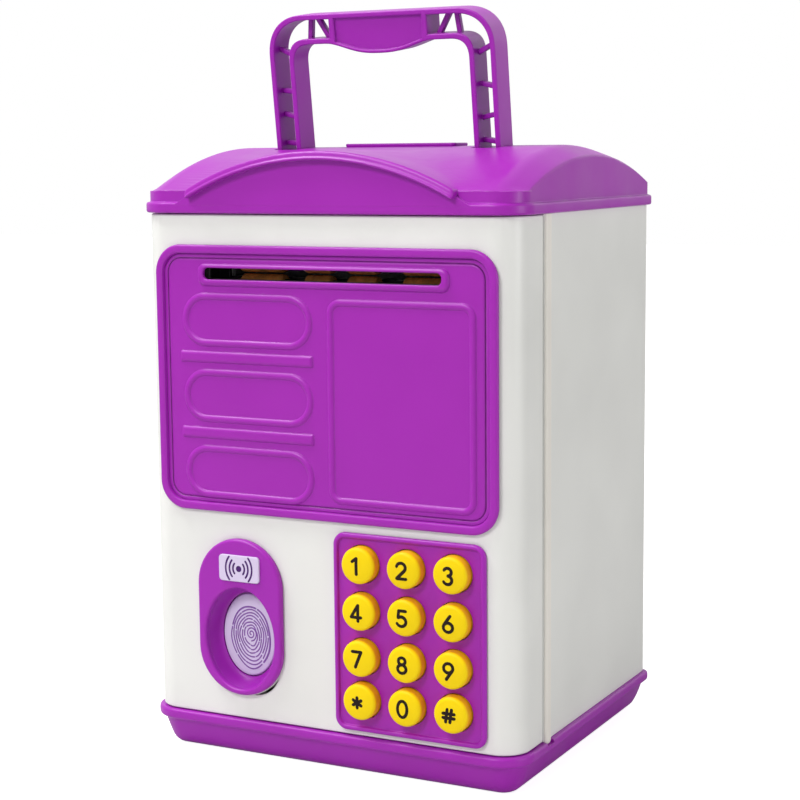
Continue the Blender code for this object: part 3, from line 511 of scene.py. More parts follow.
class Nodes:
    """A short way to lay out the node tree of a material or a world."""

    def __init__(self, owner):
        owner.use_nodes = True
        self.owner = owner
        self.tree = owner.node_tree

    def feed(self, value, socket):
        """Links an input to another node's output, or sets its value."""
        if isinstance(value, bpy.types.NodeSocket):
            self.tree.links.new(value, socket)
        else:
            socket.default_value = value

    def add(self, kind, *sources, **values):
        """A node with its options and named inputs set, and its first inputs fed in order."""
        node = self.tree.nodes.new(kind)
        for key, value in values.items():
            if hasattr(node, key):
                setattr(node, key, value)
            else:
                self.feed(value, node.inputs[key.replace("_", " ")])
        for source, socket in zip(sources, node.inputs):
            self.feed(source, socket)
        return node


class Look(Nodes):
    """A material's tree, with the parts that the looks are made of."""

    def __init__(self, name):
        super().__init__(bpy.data.materials.new(name))
        place = self.add("ShaderNodeTexCoord").outputs
        self.place, self.facing = place["Object"], place["Normal"]

    def noise(self, scale, detail=3.0, stretch=(1, 1, 1)):
        mapping = self.add("ShaderNodeMapping", self.place, Scale=stretch)
        node = self.add("ShaderNodeTexNoise", mapping.outputs["Vector"], Scale=scale, Detail=detail)
        return node.outputs["Fac"]

    def spread(self, source, low, high, lowest=0.3, highest=0.7):
        """Maps a source onto a range of values. A noise runs about 0.3 to 0.7."""
        node = self.add("ShaderNodeMapRange", source,
                        From_Min=lowest, From_Max=highest, To_Min=low, To_Max=high)
        return node.outputs["Result"]

    def mix(self, factor, first, second):
        node = self.add("ShaderNodeMix", factor, data_type="RGBA")
        colours = [socket for socket in node.inputs if socket.type == "RGBA"]
        for value, socket in zip((first, second), colours):
            self.feed((*value, 1.0) if isinstance(value, tuple) else value, socket)
        return next(socket for socket in node.outputs if socket.type == "RGBA")

    def mottle(self, noise, first, second):
        """A colour that drifts between two with a noise."""
        return self.mix(self.spread(noise, 0.0, 1.0), first, second)

    def bump(self, height, strength, distance, **normal):
        node = self.add("ShaderNodeBump", Height=height, Strength=strength, Distance=distance, **normal)
        return node.outputs["Normal"]

    def surface(self, **values):
        """Feeds the shader's inputs, and gives back the material."""
        shader = self.tree.nodes["Principled BSDF"]
        for key, value in values.items():
            self.feed(value, shader.inputs[key.replace("_", " ")])
        return self.owner


def shade(colour, factor):
    return tuple(min(1.0, c * factor) for c in colour)


def plastic(name, colour, roughness, edge_sheen=0.02, grain=0.03, specular=0.5, painted_flank_shade=None):
    """Moulded plastic: slow colour drift, uneven gloss, fine skin, and paler edges, partly rubbed wear and
    partly a painted highlight.

    Flanks are painted shade: a deeper colour laid on the sides that turn away from the front, standing in
    for the light that deepens inside the sides of a translucent moulding.
    """
    n = Look(name)
    body = n.mottle(n.noise(28.0, 2.0), shade(colour, 0.965), shade(colour, 1.03))
    round_edge = n.add("ShaderNodeBevel", samples=4, Radius=0.00035).outputs["Normal"]
    true_normal = n.add("ShaderNodeNewGeometry").outputs["Normal"]
    dot = n.add("ShaderNodeVectorMath", round_edge, true_normal, operation="DOT_PRODUCT")
    edge = n.spread(dot.outputs["Value"], 0.0, 1.0, 0.995, 0.9)
    # Painted highlight and wear: the rounded edges are lifted toward white, in patches set by a noise.
    wear_and_sheen_noise = n.spread(n.noise(160.0, 4.0), 0.1, 0.6)
    worn_and_lit_edge = n.add("ShaderNodeMath", edge, wear_and_sheen_noise, operation="MULTIPLY")
    worn_and_sheen_colour = tuple(c + (1.0 - c) * (edge_sheen + 0.06) for c in colour)
    face = n.mix(worn_and_lit_edge.outputs["Value"], body, worn_and_sheen_colour)
    if painted_flank_shade:
        # Painted shade: faces turned away from the front take the deeper flank colour.
        forward = n.add("ShaderNodeSeparateXYZ", n.facing).outputs["Y"]
        face = n.mix(n.spread(forward, 0.0, 1.0, -0.75, 0.25), face, painted_flank_shade)
    skin = n.bump(n.noise(1500.0, 2.0), grain, 0.0002, Normal=round_edge)
    return n.surface(
        Base_Color=face,
        Roughness=n.spread(n.noise(55.0, 4.0), roughness - 0.05, roughness + 0.06),
        Specular_IOR_Level=specular,
        Normal=n.bump(n.noise(90.0, 1.0), 0.05, 0.0006, Normal=skin))


def metal(name, colour, roughness):
    """Plated steel with drawn scratches and dull patches."""
    n = Look(name)
    scratch = n.noise(700.0, 6.0, (1.0, 1.0, 0.06))
    return n.surface(
        Metallic=1.0,
        Base_Color=n.mottle(n.noise(120.0, 5.0), shade(colour, 0.8), colour),
        Roughness=n.spread(scratch, roughness - 0.08, roughness + 0.14),
        Normal=n.bump(scratch, 0.12, 0.0001))


def rubber(name, colour):
    """Dull rubber with a dusty, pitted skin."""
    n = Look(name)
    return n.surface(
        Base_Color=n.mottle(n.noise(260.0, 6.0), shade(colour, 0.7), shade(colour, 1.25)),
        Roughness=n.spread(n.noise(90.0, 3.0), 0.68, 0.86),
        Normal=n.bump(n.noise(1400.0, 6.0), 0.35, 0.0002))


def ink(name, colour):
    """Printed ink with slightly uneven cover."""
    n = Look(name)
    return n.surface(
        Base_Color=n.mottle(n.noise(900.0, 4.0), shade(colour, 0.85), shade(colour, 1.2)),
        Roughness=n.spread(n.noise(400.0, 3.0), 0.42, 0.55),
        Specular_IOR_Level=0.15,
        Normal=n.bump(n.noise(2200.0, 3.0), 0.1, 0.0001))


def circuit_board(name):
    """Green solder mask over copper tracks."""
    n = Look(name)
    bricks = n.add("ShaderNodeTexBrick", n.place, offset=0.5, Scale=160.0, Mortar_Size=0.06)
    tracks = bricks.outputs["Fac"]
    return n.surface(
        Base_Color=n.mix(tracks, (0.01, 0.13, 0.05), (0.03, 0.26, 0.09)),
        Roughness=n.spread(n.noise(200.0), 0.35, 0.5),
        Normal=n.bump(tracks, 0.2, 0.0001))


def cell_jacket(name, half_length):
    """A battery's printed sleeve: dark, with a coppery band towards one end."""
    n = Look(name)
    along = n.add("ShaderNodeSeparateXYZ", n.place).outputs["X"]
    band = n.add("ShaderNodeMath", along, half_length * 0.4, operation="GREATER_THAN")
    dark = n.mottle(n.noise(300.0), (0.02, 0.02, 0.025), (0.035, 0.035, 0.04))
    copper = n.mottle(n.noise(300.0), (0.45, 0.2, 0.07), (0.55, 0.26, 0.1))
    return n.surface(
        Base_Color=n.mix(band.outputs["Value"], dark, copper),
        Roughness=n.spread(n.noise(70.0), 0.22, 0.36),
        Normal=n.bump(n.noise(900.0), 0.05, 0.0001))


# Each look goes with the record's name for its material
# Each plastic's edges are painted paler, as a painted highlight on top of wear; the white plastic most of
# all.
PURPLE = "purple_plastic", plastic("purple_moulded", (0.375, 0.012, 0.445), 0.36, specular=0.4)
WHITE = "white_plastic", plastic("white_moulded", (0.85, 0.85, 0.815), 0.34, edge_sheen=0.3, grain=0.02)
# Painted light: a paler copy of the white plastic, so the front beads look lit; the warm tint is the beads'
# own.
LIT_CREAM = "white_plastic", plastic("cream_moulded", (0.9, 0.86, 0.79), 0.4, edge_sheen=0.0)
# The keys' sides get painted shade in a deep orange.
YELLOW = "yellow_plastic", plastic(
    "yellow_moulded", (0.98, 0.7, 0.003), 0.42, edge_sheen=0.0, specular=0.15, painted_flank_shade=(0.97, 0.44, 0.003))
LILAC = "lilac_plastic", plastic("lilac_moulded", (0.72, 0.62, 0.84), 0.42, edge_sheen=0.2, grain=0.05)
BLACK = "black_plastic", plastic("black_moulded", (0.022, 0.021, 0.024), 0.48, grain=0.12)
STEEL = "steel", metal("zinc_plate", (0.62, 0.61, 0.59), 0.3)
BROWN_RUBBER = "roller_rubber", rubber("brown_rubber", (0.75, 0.32, 0.08))
DARK_RUBBER = "dark_rubber", rubber("dark_rubber", (0.022, 0.021, 0.022))
BLACK_INK = "black_plastic", ink("black_ink", (0.016, 0.008, 0.006))
PURPLE_INK = "purple_plastic", ink("purple_ink", (0.075, 0.02, 0.15))
PRINT_INK = "purple_plastic", ink("whorl_ink", (0.24, 0.1, 0.38))
BOARD = "circuit_board", circuit_board("solder_mask")
CELL = "cell_jacket", cell_jacket("cell_sleeve", half_length=0.025)
WIRE = "wire_jacket", plastic("red_sleeve", (0.5, 0.02, 0.02), 0.45)


# --- roof

def gable_share(x):
    """How far the vault has dropped towards its gable arch at x, from 0 to about 1."""
    end = HALF_WIDTH + BAND
    slope = 1.0 / (end - VAULT_HALF_LENGTH)
    ease, turn_in, last_drop = 2.2, 0.9, 0.24
    past = abs(x) - VAULT_HALF_LENGTH
    if past < -ease:
        share = 0.0
    elif past < ease:
        share = slope * (past + ease) ** 2 / (4 * ease)
    else:
        share = slope * past
    u = max(0.0, (abs(x) - (end - turn_in)) / turn_in)
    return share + last_drop * (1 - sqrt(max(0.0, 1 - u * u)))


def vault(inward, floor, half_span, end, steps=60):
    """A barrel vault along X that eases down to its gable arches, moved inward by an amount."""
    stations = [end - d for d in (0, 0.03, 0.12, 0.3, 0.55, 0.9, 2.2)]
    stations += [VAULT_HALF_LENGTH + d for d in (2.2, 1.3, 0.4, -0.4, -1.3, -2.2)]
    rings = []
    for x in sorted([-x for x in stations] + stations):
        share = gable_share(x)
        radius = VAULT_RADIUS + (GABLE_RADIUS - VAULT_RADIUS) * share - inward
        crown = RIDGE_Z - GABLE_DROP * share - inward
        middle = GABLE_MIDDLE_Y * share
        ring = [(x, half_span, floor), (x, -half_span, floor)]
        for y in spaced(-half_span, half_span, steps):
            height = crown - radius + sqrt(radius ** 2 - (y - middle) ** 2)
            ring.append((x, y, max(height, BAND_TOP_Z + 0.05 - inward)))
        rings.append(ring)
    shape = loft(rings)
    bmesh.ops.triangulate(shape, faces=shape.faces)
    return shape


def arch(radius, crown, floor):
    """Points of an arch in X and Z, from its left foot to its right foot."""
    drop = crown - floor
    half = sqrt(2 * radius * drop - drop * drop)
    return [(x, crown - radius + sqrt(radius * radius - x * x)) for x in spaced(-half, half, 56)]


def hood():
    """The fascia over the door: an arched strip with rounded edges and blunt, level ends."""
    centre_z = ARCH_Z - ARCH_RADIUS
    level = HOOD_END_Z - centre_z
    tip_start, tip_end = 27.2, 28.55
    middle = level / cos(radians(tip_end)) + 0.15
    angles = spaced(0, tip_start, 30)
    angles += [tip_start + (tip_end - tip_start) * t for t in (0.25, 0.45, 0.62, 0.76, 0.88, 0.96, 1.0)]
    bead = ((-1.0, 0.85), (-0.96, 0.45), (-0.84, 0.14), (-0.68, 0.0), (-0.5, 0.05), (-0.34, 0.28),
            (-0.2, 0.5), (0.0, 0.6), (0.35, 0.66), (0.62, 0.78), (0.82, 1.02), (0.95, 1.4), (1.0, 1.9))
    rings = []
    for angle in [-a for a in angles[:0:-1]] + angles:
        turn = radians(angle)
        past = max(0.0, (abs(angle) - tip_start) / (tip_end - tip_start))
        low = max(ARCH_RADIUS, level / cos(turn))
        high = middle + (ARCH_RADIUS + HOOD - middle) * (1 - past ** 3) ** 0.5
        half, centre = (high - low) / 2, (high + low) / 2
        section = [(-half, HOOD_BACK_Y), *((half * r, HOOD_FRONT_Y + y) for r, y in bead),
                   (half, HOOD_BACK_Y)]
        rings.append([((centre + r) * sin(turn), y, centre_z + (centre + r) * cos(turn))
                      for r, y in section])
    return loft(rings)


def roof():
    """The vault over its rounded lip, with the arched front and its hood, hollow underneath."""
    edge = [(EAVES_Z + h, out) for h, out in ((0, 0.9), (0.1, 1.25), (0.35, 1.5), (0.75, LIP))]
    edge += [(LIP_TOP_Z + h, out) for h, out in (
        (-0.8, LIP), (-0.35, 1.5), (-0.1, 1.25), (0, 0.9), (0.04, 0.62), (0.16, 0.4), (0.5, BAND - 0.1))]
    top = combine(vault(0.0, LIP_TOP_Z - 1, HALF_DEPTH + 1.0, HALF_WIDTH + BAND + 0.3),
                  "INTERSECT", [stacked([(LIP_TOP_Z - 2, BAND), (RIDGE_Z + 5, BAND)])])
    cover = join(stacked(edge), soften(clean(top), 0.4, angle=28))

    face = [(-KINK_X, LIP_TOP_Z - 0.8), *arch(ARCH_RADIUS + 1.2, ARCH_Z + 1.2, HOOD_END_Z + 1.4),
            (KINK_X, LIP_TOP_Z - 0.8)]
    join(cover, panel(face, -HALF_DEPTH - LIP - 0.03, HOOD_BACK_Y - 3))
    join(cover, hood())

    floor = EAVES_Z - 2
    cut(cover, combine(vault(SKIN, floor, HALF_DEPTH - 1.7, HALF_WIDTH - 2.0, steps=24),
                       "INTERSECT", [stacked([(floor - 1, -1.9), (RIDGE_Z, -1.9)])]))
    cut(cover, stacked([(floor, -1.7), (LIP_TOP_Z + 0.6, -1.7)]))

    above = RIDGE_Z + 5
    slots = []
    for side in (-1, 1):
        sides = (*span(side, LEG_INNER - GAP, LEG_OUTER + GAP), *LEG_SLOT_Y)
        slots.append(block(sides, 0.8, [(0.0, EAVES_Z + 3.5), (0.0, above)], 5, flat))
    slots.append(box(CHUTE.x0 + 1.0, CHUTE.x1 - 1.0, -4.0, 4.0, EAVES_Z, above))
    finish(clean(cut(cover, *slots)), "roof", PURPLE, "case", "roof_cover")


def coin_collar():
    """The coin slot's raised collar on the ridge, and the chute under it."""
    top = CHUTE.z1
    rim = (COLLAR_X - COLLAR_HALF_LENGTH, COLLAR_X + COLLAR_HALF_LENGTH, CHUTE.y0, CHUTE.y1)
    collar = block(rim, 1.5, [(0.3, RIDGE_Z - 0.4), (0.0, RIDGE_Z + 0.35), (0.0, top - 0.3),
                              (0.12, top - 0.08), (0.4, top)], 6, flat, shrink=0.0)
    chute = box(-18.0, 20.5, -3.7, 3.7, CHUTE.z0, RIDGE_Z)
    mouth = block(COIN_SLOT, 1.0, [(0.0, CHUTE.z0 - 1), (0.0, top - 0.6), (-0.15, top - 0.25),
                                   (-0.5, top + 0.02), (-0.5, top + 1)], 5, flat, shrink=0.0)
    finish(cut(join(collar, chute), mouth), "coin_collar", PURPLE, "case", "coin_chute")


# --- base and sides

def base():
    """The tray: a bowl with a lip, cut for the beads' feet, the battery cover and the screws."""
    deck = TRAY.z1
    bowl = [(0.0, -6.5), (0.06, -5.9), (0.25, -5.2), (0.6, -4.5), (1.1, -3.85), (1.8, -3.2),
            (2.8, -2.65), (4.2, -2.05), (6.0, -1.4), (8.0, -0.7), (8.8, -0.4), (9.3, -0.1),
            (9.5, 0.2), (9.65, 0.75), (9.85, 1.15), (10.15, 1.42), (10.5, 1.56), (10.9, LIP)]
    rim = [(deck - 0.9, LIP), (deck - 0.45, 1.5), (deck - 0.15, 1.25), (deck, 0.8)]
    inside = [(deck, -1.7), (10.5, -1.7), (10.5, -4.0), (5.0, -5.6), (2.2, -8.0)]
    cuts = [box(*span(side, HALF_WIDTH, HALF_WIDTH + 3), BODY_FRONT_Y - 0.05,
                BODY_FRONT_Y + STRIP_DEPTH - 0.3, deck - STRIP_DROP + 0.15, deck + 1)
            for side in (-1, 1)]
    bay = Sides("battery_cover")
    cuts.append(box(bay.x0 - GAP, bay.x1 + GAP, bay.y0 - GAP, bay.y1 + GAP, -1, 5))
    hole = [(-1.0, 3.4), (0.0, 3.4), (0.35, 3.0), (2.4, 3.0)]
    cuts += [screw_hole(f"base_screw_{index}", hole) for index in range(1, 5)]
    finish(cut(stacked(bowl + rim + inside), *cuts), "base", PURPLE, "case", "base_tray")


def screw_hole(name, profile):
    """A round hole up from the underside, at a screw."""
    screw = Sides(name)
    return turned(profile, (screw.x, screw.y, 0), UP)


def battery_lid():
    """The cover under the base, with five grip grooves and a countersunk screw hole."""
    lid = Sides("battery_cover")
    screw = Sides("battery_cover_screw")
    edge = [(0.35, 0.0), (0.1, 0.1), (0.0, 0.35), (0.0, lid.z1)]
    cover = block((lid.x0, lid.x1, lid.y0, lid.y1), 1.2, edge, 5, flat)
    cuts = [screw_hole("battery_cover_screw", [(-1.0, 2.9), (0.0, 2.9), (0.5, 2.3), (0.9, 2.3)]),
            rod((screw.x, screw.y, 0.5), (screw.x, screw.y, 3), 1.5)]
    for step in range(5):
        y = lid.y1 - 5.0 - 2.0 * step
        half = 9.0 - 1.2 * abs(step - 2)
        cuts.append(loft([flat(rounded(-half, half, y - w, y + w, w * 0.95, w * 0.95, 4), z)
                          for w, z in ((0.75, -0.5), (0.6, 0.05), (0.3, 0.45))]))
    finish(cut(cover, *cuts), "battery_lid", PURPLE, "case", "battery_cover")


def screws():
    """Pan heads with a cross recess, on threaded shanks."""
    pitch, cross_half, cross_wall = 0.8, 0.32, 1.15
    for name in sorted(n for n in frame["nodes"] if "_screw" in n):
        sides = Sides(name)
        head = (sides.x1 - sides.x0) / 2
        height = 0.6 if name == "battery_cover_screw" else 1.7
        length = sides.z1 - sides.z0
        profile = [(0.0, head * 0.55), (0.12, head * 0.78), (0.32, head * 0.94), (height * 0.6, head),
                   (height, head), (height, cross_wall)]
        for i in range(int((length - height - 1.4) / pitch)):
            z = height + 0.5 + pitch * i
            profile += [(z, 0.95), (z + 0.3, 1.2), (z + 0.5, 1.2)]
        profile += [(length - 0.6, 0.9), (length, 0.25)]
        screw = turned(profile, (sides.x, sides.y, sides.z0), UP, 32)
        arms = []
        for w, r in ((cross_half, head * 0.55), (head * 0.55, cross_half)):
            arms.append(loft([
                [(sides.x + x * g, sides.y + y * g, sides.z0 + z)
                 for x, y in ((-w, -r), (w, -r), (w, r), (-w, r))]
                for g, z in ((1.0, -0.5), (1.0, 0.05), (0.55, min(0.9, height * 0.8)))]))
        finish(cut(screw, *arms), f"{name}_piece", STEEL, "case", name)


def body_wrap():
    """The sides and back in one wrap."""
    corner = len(plan(0.0)) // 4
    outside, inside = (plan(offset)[corner:3 * corner] for offset in (0.0, -WALL))
    outline = [(HALF_WIDTH, BODY_FRONT_Y), *outside, (-HALF_WIDTH, BODY_FRONT_Y),
               (WALL - HALF_WIDTH, BODY_FRONT_Y), *inside[::-1], (HALF_WIDTH - WALL, BODY_FRONT_Y)]
    wrap = soften(column(outline, TRAY.z1 + 0.05, EAVES_Z - 0.05), 0.12)
    finish(wrap, "body_wrap", WHITE, "case", "body_shell")


def front_strips():
    """The rounded bead down each front edge of the wrap, beside the door."""
    low, high = TRAY.z1 + 0.3 - STRIP_DROP, EAVES_Z - 0.05
    face = HALF_WIDTH + 0.02
    middle = BODY_FRONT_Y + STRIP_DEPTH / 2
    beads = []
    for side in (-1, 1):
        rings = []
        for z, inset in ((low, 1.5), (low + 0.12, 0.9), (low + 0.4, 0.4), (low + 0.8, 0.1),
                         (low + 1.2, 0.0), (high, 0.0)):
            half = STRIP_DEPTH / 2 - 0.35 - inset
            proud = STRIP_PROUD - inset * 0.25
            rings.append([(side * (face + (1 - abs(t) ** 2.6) ** 0.5 * proud), middle + t * half, z)
                          for t in spaced(-1, 1, 16)])
        beads.append(loft(rings))
    # The beads' paler look is painted light.
    finish(gather(beads), "front_strips", LIT_CREAM, "case", "body_shell")


# --- door

def door_outline(inset, steps=20):
    """The door's plan: a flat return, the hinge roll, and two rounded front corners."""
    right = HALF_WIDTH - inset
    left = HINGE.x - HINGE_RADIUS + inset
    corner = FRONT_RADIUS - inset
    front = FACE_Y + inset + corner
    return [(right, SEAM_Y - inset),
            *arc((HINGE.x, HINGE.y), HINGE_RADIUS - inset, 90, 180, steps // 2),
            *arc((left + corner, front), corner, 180, 270, steps),
            *arc((right - corner, front), corner, 270, 360, steps)]


def door_front():
    """The door's white shell, cut for its hinge pins, the note slot, the scanner and the keys."""
    low, high = DOOR.z0, DOOR.z1 + 0.2
    edge = ((0.0, 0.5), (0.06, 0.28), (0.22, 0.08), (0.5, 0.0))
    levels = [(low + d, inset) for d, inset in edge] + [(high - d, inset) for d, inset in edge[::-1]]
    shell = loft([flat(door_outline(inset), z) for z, inset in levels])
    inner = FRONT_RADIUS - WALL
    x0, x1, y0 = HINGE.x - HINGE_RADIUS + WALL, HALF_WIDTH - WALL, FACE_Y + WALL
    hinge_side = HINGE.x + HINGE_RADIUS + 1
    hollow = [*arc((x1 - inner, y0 + inner), inner, -90, 0, 12), (x1, SEAM_Y + 5),
              (hinge_side, SEAM_Y + 5), (hinge_side, HINGE.y - 1),
              (x0 + 1.0, HINGE.y - HINGE_RADIUS - 0.6),
              *arc((x0 + inner, y0 + inner), inner, 180, 270, 12)]
    cuts = [column(hollow, low + 2, high - 2)]
    for z0, z1 in ((low - 1, low + 8.5), (high - 8.5, high + 1)):
        cuts.append(rod((HINGE.x, HINGE.y, z0), (HINGE.x, HINGE.y, z1), HINGE_BORE))
    cuts.append(box(-SLOT_HALF_LENGTH - 2, SLOT_HALF_LENGTH + 2, *THROUGH_DOOR,
                    SLOT_Z - SLOT_HALF_HEIGHT - 1, SLOT_Z + SLOT_HALF_HEIGHT + 1))
    cuts.append(panel(worn_gap(), *THROUGH_DOOR))
    cuts.append(scanner_oval(CUP_HALF, [(1, y) for y in THROUGH_DOOR]))
    for _, x, z in key_places():
        start, end = ((x, y, z) for y in THROUGH_DOOR)
        cuts.append(rod(start, end, KEY_RADIUS + GAP))
    finish(cut(shell, *cuts), "door_front", WHITE, "door", "door_shell")


def worn_gap():
    """The crescent left open at the scanner's lower right, where its edge stands off the door."""
    x, z = BEZEL.x, BEZEL.z0 + SCAN_RADIUS
    inner, steps = SCAN_RADIUS + GAP, 14
    outline = list(arc((x, z), inner, -76, -34, steps))
    for i in range(1, steps):
        turn = radians(-34 - 42 * i / steps)
        reach = inner + 0.85 * sin(pi * i / steps) ** 0.8
        outline.append((x + reach * cos(turn), z + reach * sin(turn)))
    return outline


def key_places():
    for index, name in enumerate(KEY_NAMES):
        yield name, KEY_COLUMNS[index % 3], KEY_ROWS[index // 3]


def rim_profile(sides, width, channel=0.0):
    """(inset, y) pairs for a panel's side, its rounded rim and the slope down to its field."""
    front, foot = sides.y0, FIELD_Y + channel
    profile = [(0.0, sides.y1), (0.0, front + 0.9), (0.05, front + 0.55), (0.22, front + 0.22),
               (0.5, front + 0.05), (0.85, front)]
    profile += [(width * share, y) for share, y in (
        (0.62, front), (0.76, front + 0.05), (0.88, front + 0.2),
        (0.97, foot - 0.12), (1.04, foot - 0.02), (1.14, foot))]
    if channel:
        profile += [(width * share, foot - channel * rise) for share, rise in (
            (1.22, 0.0), (1.34, 0.18), (1.48, 0.5), (1.62, 0.82))]
        profile.append((width * 1.74, FIELD_Y))
    return profile


def raised(sides, radius, levels, steps):
    """A low pad on the field, rising through (inset, height) pairs."""
    levels = ((0.0, -0.12), (0.0, 0.0), *levels)
    return block(sides, radius, [(inset, FIELD_Y - height) for inset, height in levels], steps)


def slot_panel():
    """The purple panel: a rim, a field, a collar round the note slot, and raised outlines."""
    face = block(SLOT_PANEL.face, 9.0, rim_profile(SLOT_PANEL, 2.9, 0.35), 14)
    outline = (OUTLINE_HALF_WIDTH, OUTLINE_HEIGHT, FIELD_Y)
    collar = (-SLOT_HALF_LENGTH - 2.3, SLOT_HALF_LENGTH + 2.5, SLOT_Z - 3.9, SLOT_Z + 3.2)
    shapes = [raised(collar, 2.6, ((0.12, 0.35), (0.4, 0.7), (0.8, 0.92), (1.2, 1.0)), 6)]
    shapes += [ridge((-48.5, -3.8, z - 7.3, z + 7.3), 7.25, *outline) for z in PILL_ROWS]
    shapes.append(ridge((3.5, 51.0, 86.3, 146.8), 3.4, *outline))
    shapes += [raised((-50.6, -2.6, z - 1.9, z + 1.7), 0.5, ((0.15, 0.3), (0.5, 0.58), (1.0, 0.68)), 3)
               for z in LEDGE_ROWS]
    mouth = block(NOTE_SLOT, 1.5, [
        (0.0, SLOT_PANEL.y1 + 1), (0.0, FIELD_Y - 0.6), (-0.12, FIELD_Y - 0.82),
        (-0.38, FIELD_Y - 1.02), (-0.38, FIELD_Y - 2)], 5, shrink=0.0)
    finish(cut(join(face, *shapes), mouth), "slot_panel_face", PURPLE, "door", "slot_panel")


def keypad():
    """The keypad's panel and its twelve domed keys, each with a printed sign."""
    face = block(KEY_PANEL.face, 4.0, rim_profile(KEY_PANEL, 1.7))
    hole = [(along, KEY_RADIUS + grow) for along, grow in ((0.0, 0.6), (1.31, 0.6), (1.6, GAP), (4.1, GAP))]
    holes = [turned(hole, (x, FIELD_Y - 1.57, z), BACK, 44) for _, x, z in key_places()]
    finish(cut(face, *holes), "keypad_face", PURPLE, "door", "keypad_panel")

    for name, x, z in key_places():
        node = Sides(f"key_{name}")
        front, depth = node.y0, node.y1 - node.y0
        top = KEY_RADIUS - KEY_EDGE
        profile = [(dome_drop(r), r) for r in (0.4, 1.2, 2.0, 2.8, 3.6, top)]
        for a in map(radians, range(75, -1, -15)):
            profile.append((dome_drop(top) + KEY_EDGE * (1 - sin(a)), top + KEY_EDGE * cos(a)))
        flange = KEY_RADIUS + KEY_FLANGE
        profile += [(depth - 1.0, KEY_RADIUS + 0.02), (depth - 1.0, flange), (depth, flange)]
        cap = turned(profile, (x, front, z), BACK, 56)
        finish(cap, f"cap_{name}", YELLOW, f"button_{name}", f"key_{name}")
        sign = sign_shape(name, x, front, z)
        finish(sign, f"sign_{name}", BLACK_INK, f"button_{name}")


def dome_drop(radius):
    return radius * radius / 2 / DOME_RADIUS


def line(*corners):
    return [(x0 + (x1 - x0) * t, y0 + (y1 - y0) * t)
            for (x0, y0), (x1, y1) in zip(corners, corners[1:]) for t in (0, 0.25, 0.5, 0.75, 1)]


def curve(x, y, radius, start, end):
    return list(arc((x, y), radius, start, end, 14))


def strokes(name):
    """A sign's strokes as points in a box 100 high and centred on x = 0."""
    tips = [(29 * cos(a), 31 * sin(a)) for a in map(radians, (30, 90, 150))]
    return {
        "0": [[(29 * cos(a), 50 + 49 * sin(a)) for a in circle(28)]],
        "1": [line((-20, 78), (5, 98)), line((5, 98), (5, 2))],
        "2": [curve(0, 71, 27, 165, -25) + line((20, 52), (-27, 4)), line((-27, 4), (29, 4))],
        "3": [curve(-1, 74, 23, 150, -80), curve(-1, 27, 26, 80, -150)],
        "4": [line((12, 2), (12, 98)), line((12, 98), (-30, 25)), line((-30, 25), (30, 25))],
        "5": [line((25, 96), (-16, 96)), line((-16, 96), (-20, 56)), curve(-1, 32, 29, 128, -150)],
        "6": [line((12, 98), (-20, 50)), curve(0, 30, 28, 0, 347)],
        "7": [line((-27, 96), (28, 96)), line((28, 96), (-8, 2))],
        "8": [curve(0, 75, 21, 0, 347), curve(0, 28, 26, 0, 347)],
        "9": [curve(0, 70, 28, 0, 347), line((21, 52), (-12, 2))],
        "star": [line((x, 50 + y), (-x, 50 - y)) for x, y in tips],
        "hash": [line((s - 5, 12), (s + 5, 88)) for s in (-13, 13)]
                + [line((-34, 50 + s), (34, 50 + s)) for s in (-13, 13)],
    }[name]


def sign_shape(name, x, front, z):
    """A key's printed sign, laid on the dome. A stroke whose ends all but meet is a closed loop."""
    shapes = []
    for points in strokes(name):
        laid = []
        for u, v in points:
            dx, dz = u / 100 * SIGN_WIDTH + SIGN_SHIFT, (v / 100 - 0.5) * SIGN_HEIGHT
            laid.append((x + dx, front + (dx * dx + dz * dz) / 2 / DOME_RADIUS, z + dz))
        shapes.append(ribbon(laid, SIGN_HALF_STROKE, 0.07, closed=dist(points[0], points[-1]) < 15))
    return gather(shapes)


# --- fingerprint unit

def scanner_bezel():
    """The tall rounded bezel, with a cup scooped out of it round the pad."""
    front = BEZEL.y0
    edge = [(0.0, FACE_Y - GAP), (0.0, front + 1.1), (0.06, front + 0.7), (0.25, front + 0.32),
            (0.6, front + 0.08), (1.05, front)]
    bezel = join(block(BEZEL.face, SCAN_RADIUS - 0.05, edge, 20),
                 scanner_oval(CUP_HALF, [(0.6, front + 2.0), (0.6, CUP_BACK_Y)]))
    cup = []
    for a in map(radians, spaced(0, 90, 12)):
        share = sin(a) ** 1.2
        width, height = (pad + GAP + 0.1 + (mouth - pad - GAP) * share
                         for pad, mouth in zip(PAD_HALF, CUP_HALF))
        depth = (front - PAD_FRONT_Y - 0.5) * (1 - cos(a)) ** 0.9
        cup.append((width, height, PAD_FRONT_Y + 0.5 + depth))
    lip = ((-0.05, 0.75), (0.06, 0.4), (0.25, 0.15), (0.55, 0.02), (0.8, -0.02), (0.8, -1.0))
    cup[-1:] = [(CUP_HALF[0] + grow, CUP_HALF[1] + grow, front + y) for grow, y in lip]
    cut(bezel, oval(BEZEL.x, PAD.z, cup))
    well = scanner_oval(PAD_HALF, [(GAP, PAD_FRONT_Y - 1), (GAP, CUP_BACK_Y + 1)])
    finish(cut(bezel, well), "scanner_bezel", PURPLE, "door", "fingerprint_bezel")


def scanner_pad():
    """The pale button at the bottom of the cup, with its printed whorl."""
    width, height = PAD_HALF
    pad = [(width * s, height * s, PAD_FRONT_Y + d)
           for s, d in ((0.35, 0.0), (0.75, 0.02), (0.95, 0.22), (0.985, 0.5), (1.0, 0.9))]
    pad += [(width + grow, height + grow, CUP_BACK_Y + d) for grow, d in ((0, GAP), (1.5, GAP), (1.5, 1.3))]
    finish(oval(BEZEL.x, PAD.z, pad), "scanner_pad", LILAC, "fingerprint", "fingerprint_button")
    finish(whorl_shape(), "whorl_print", PRINT_INK, "fingerprint")


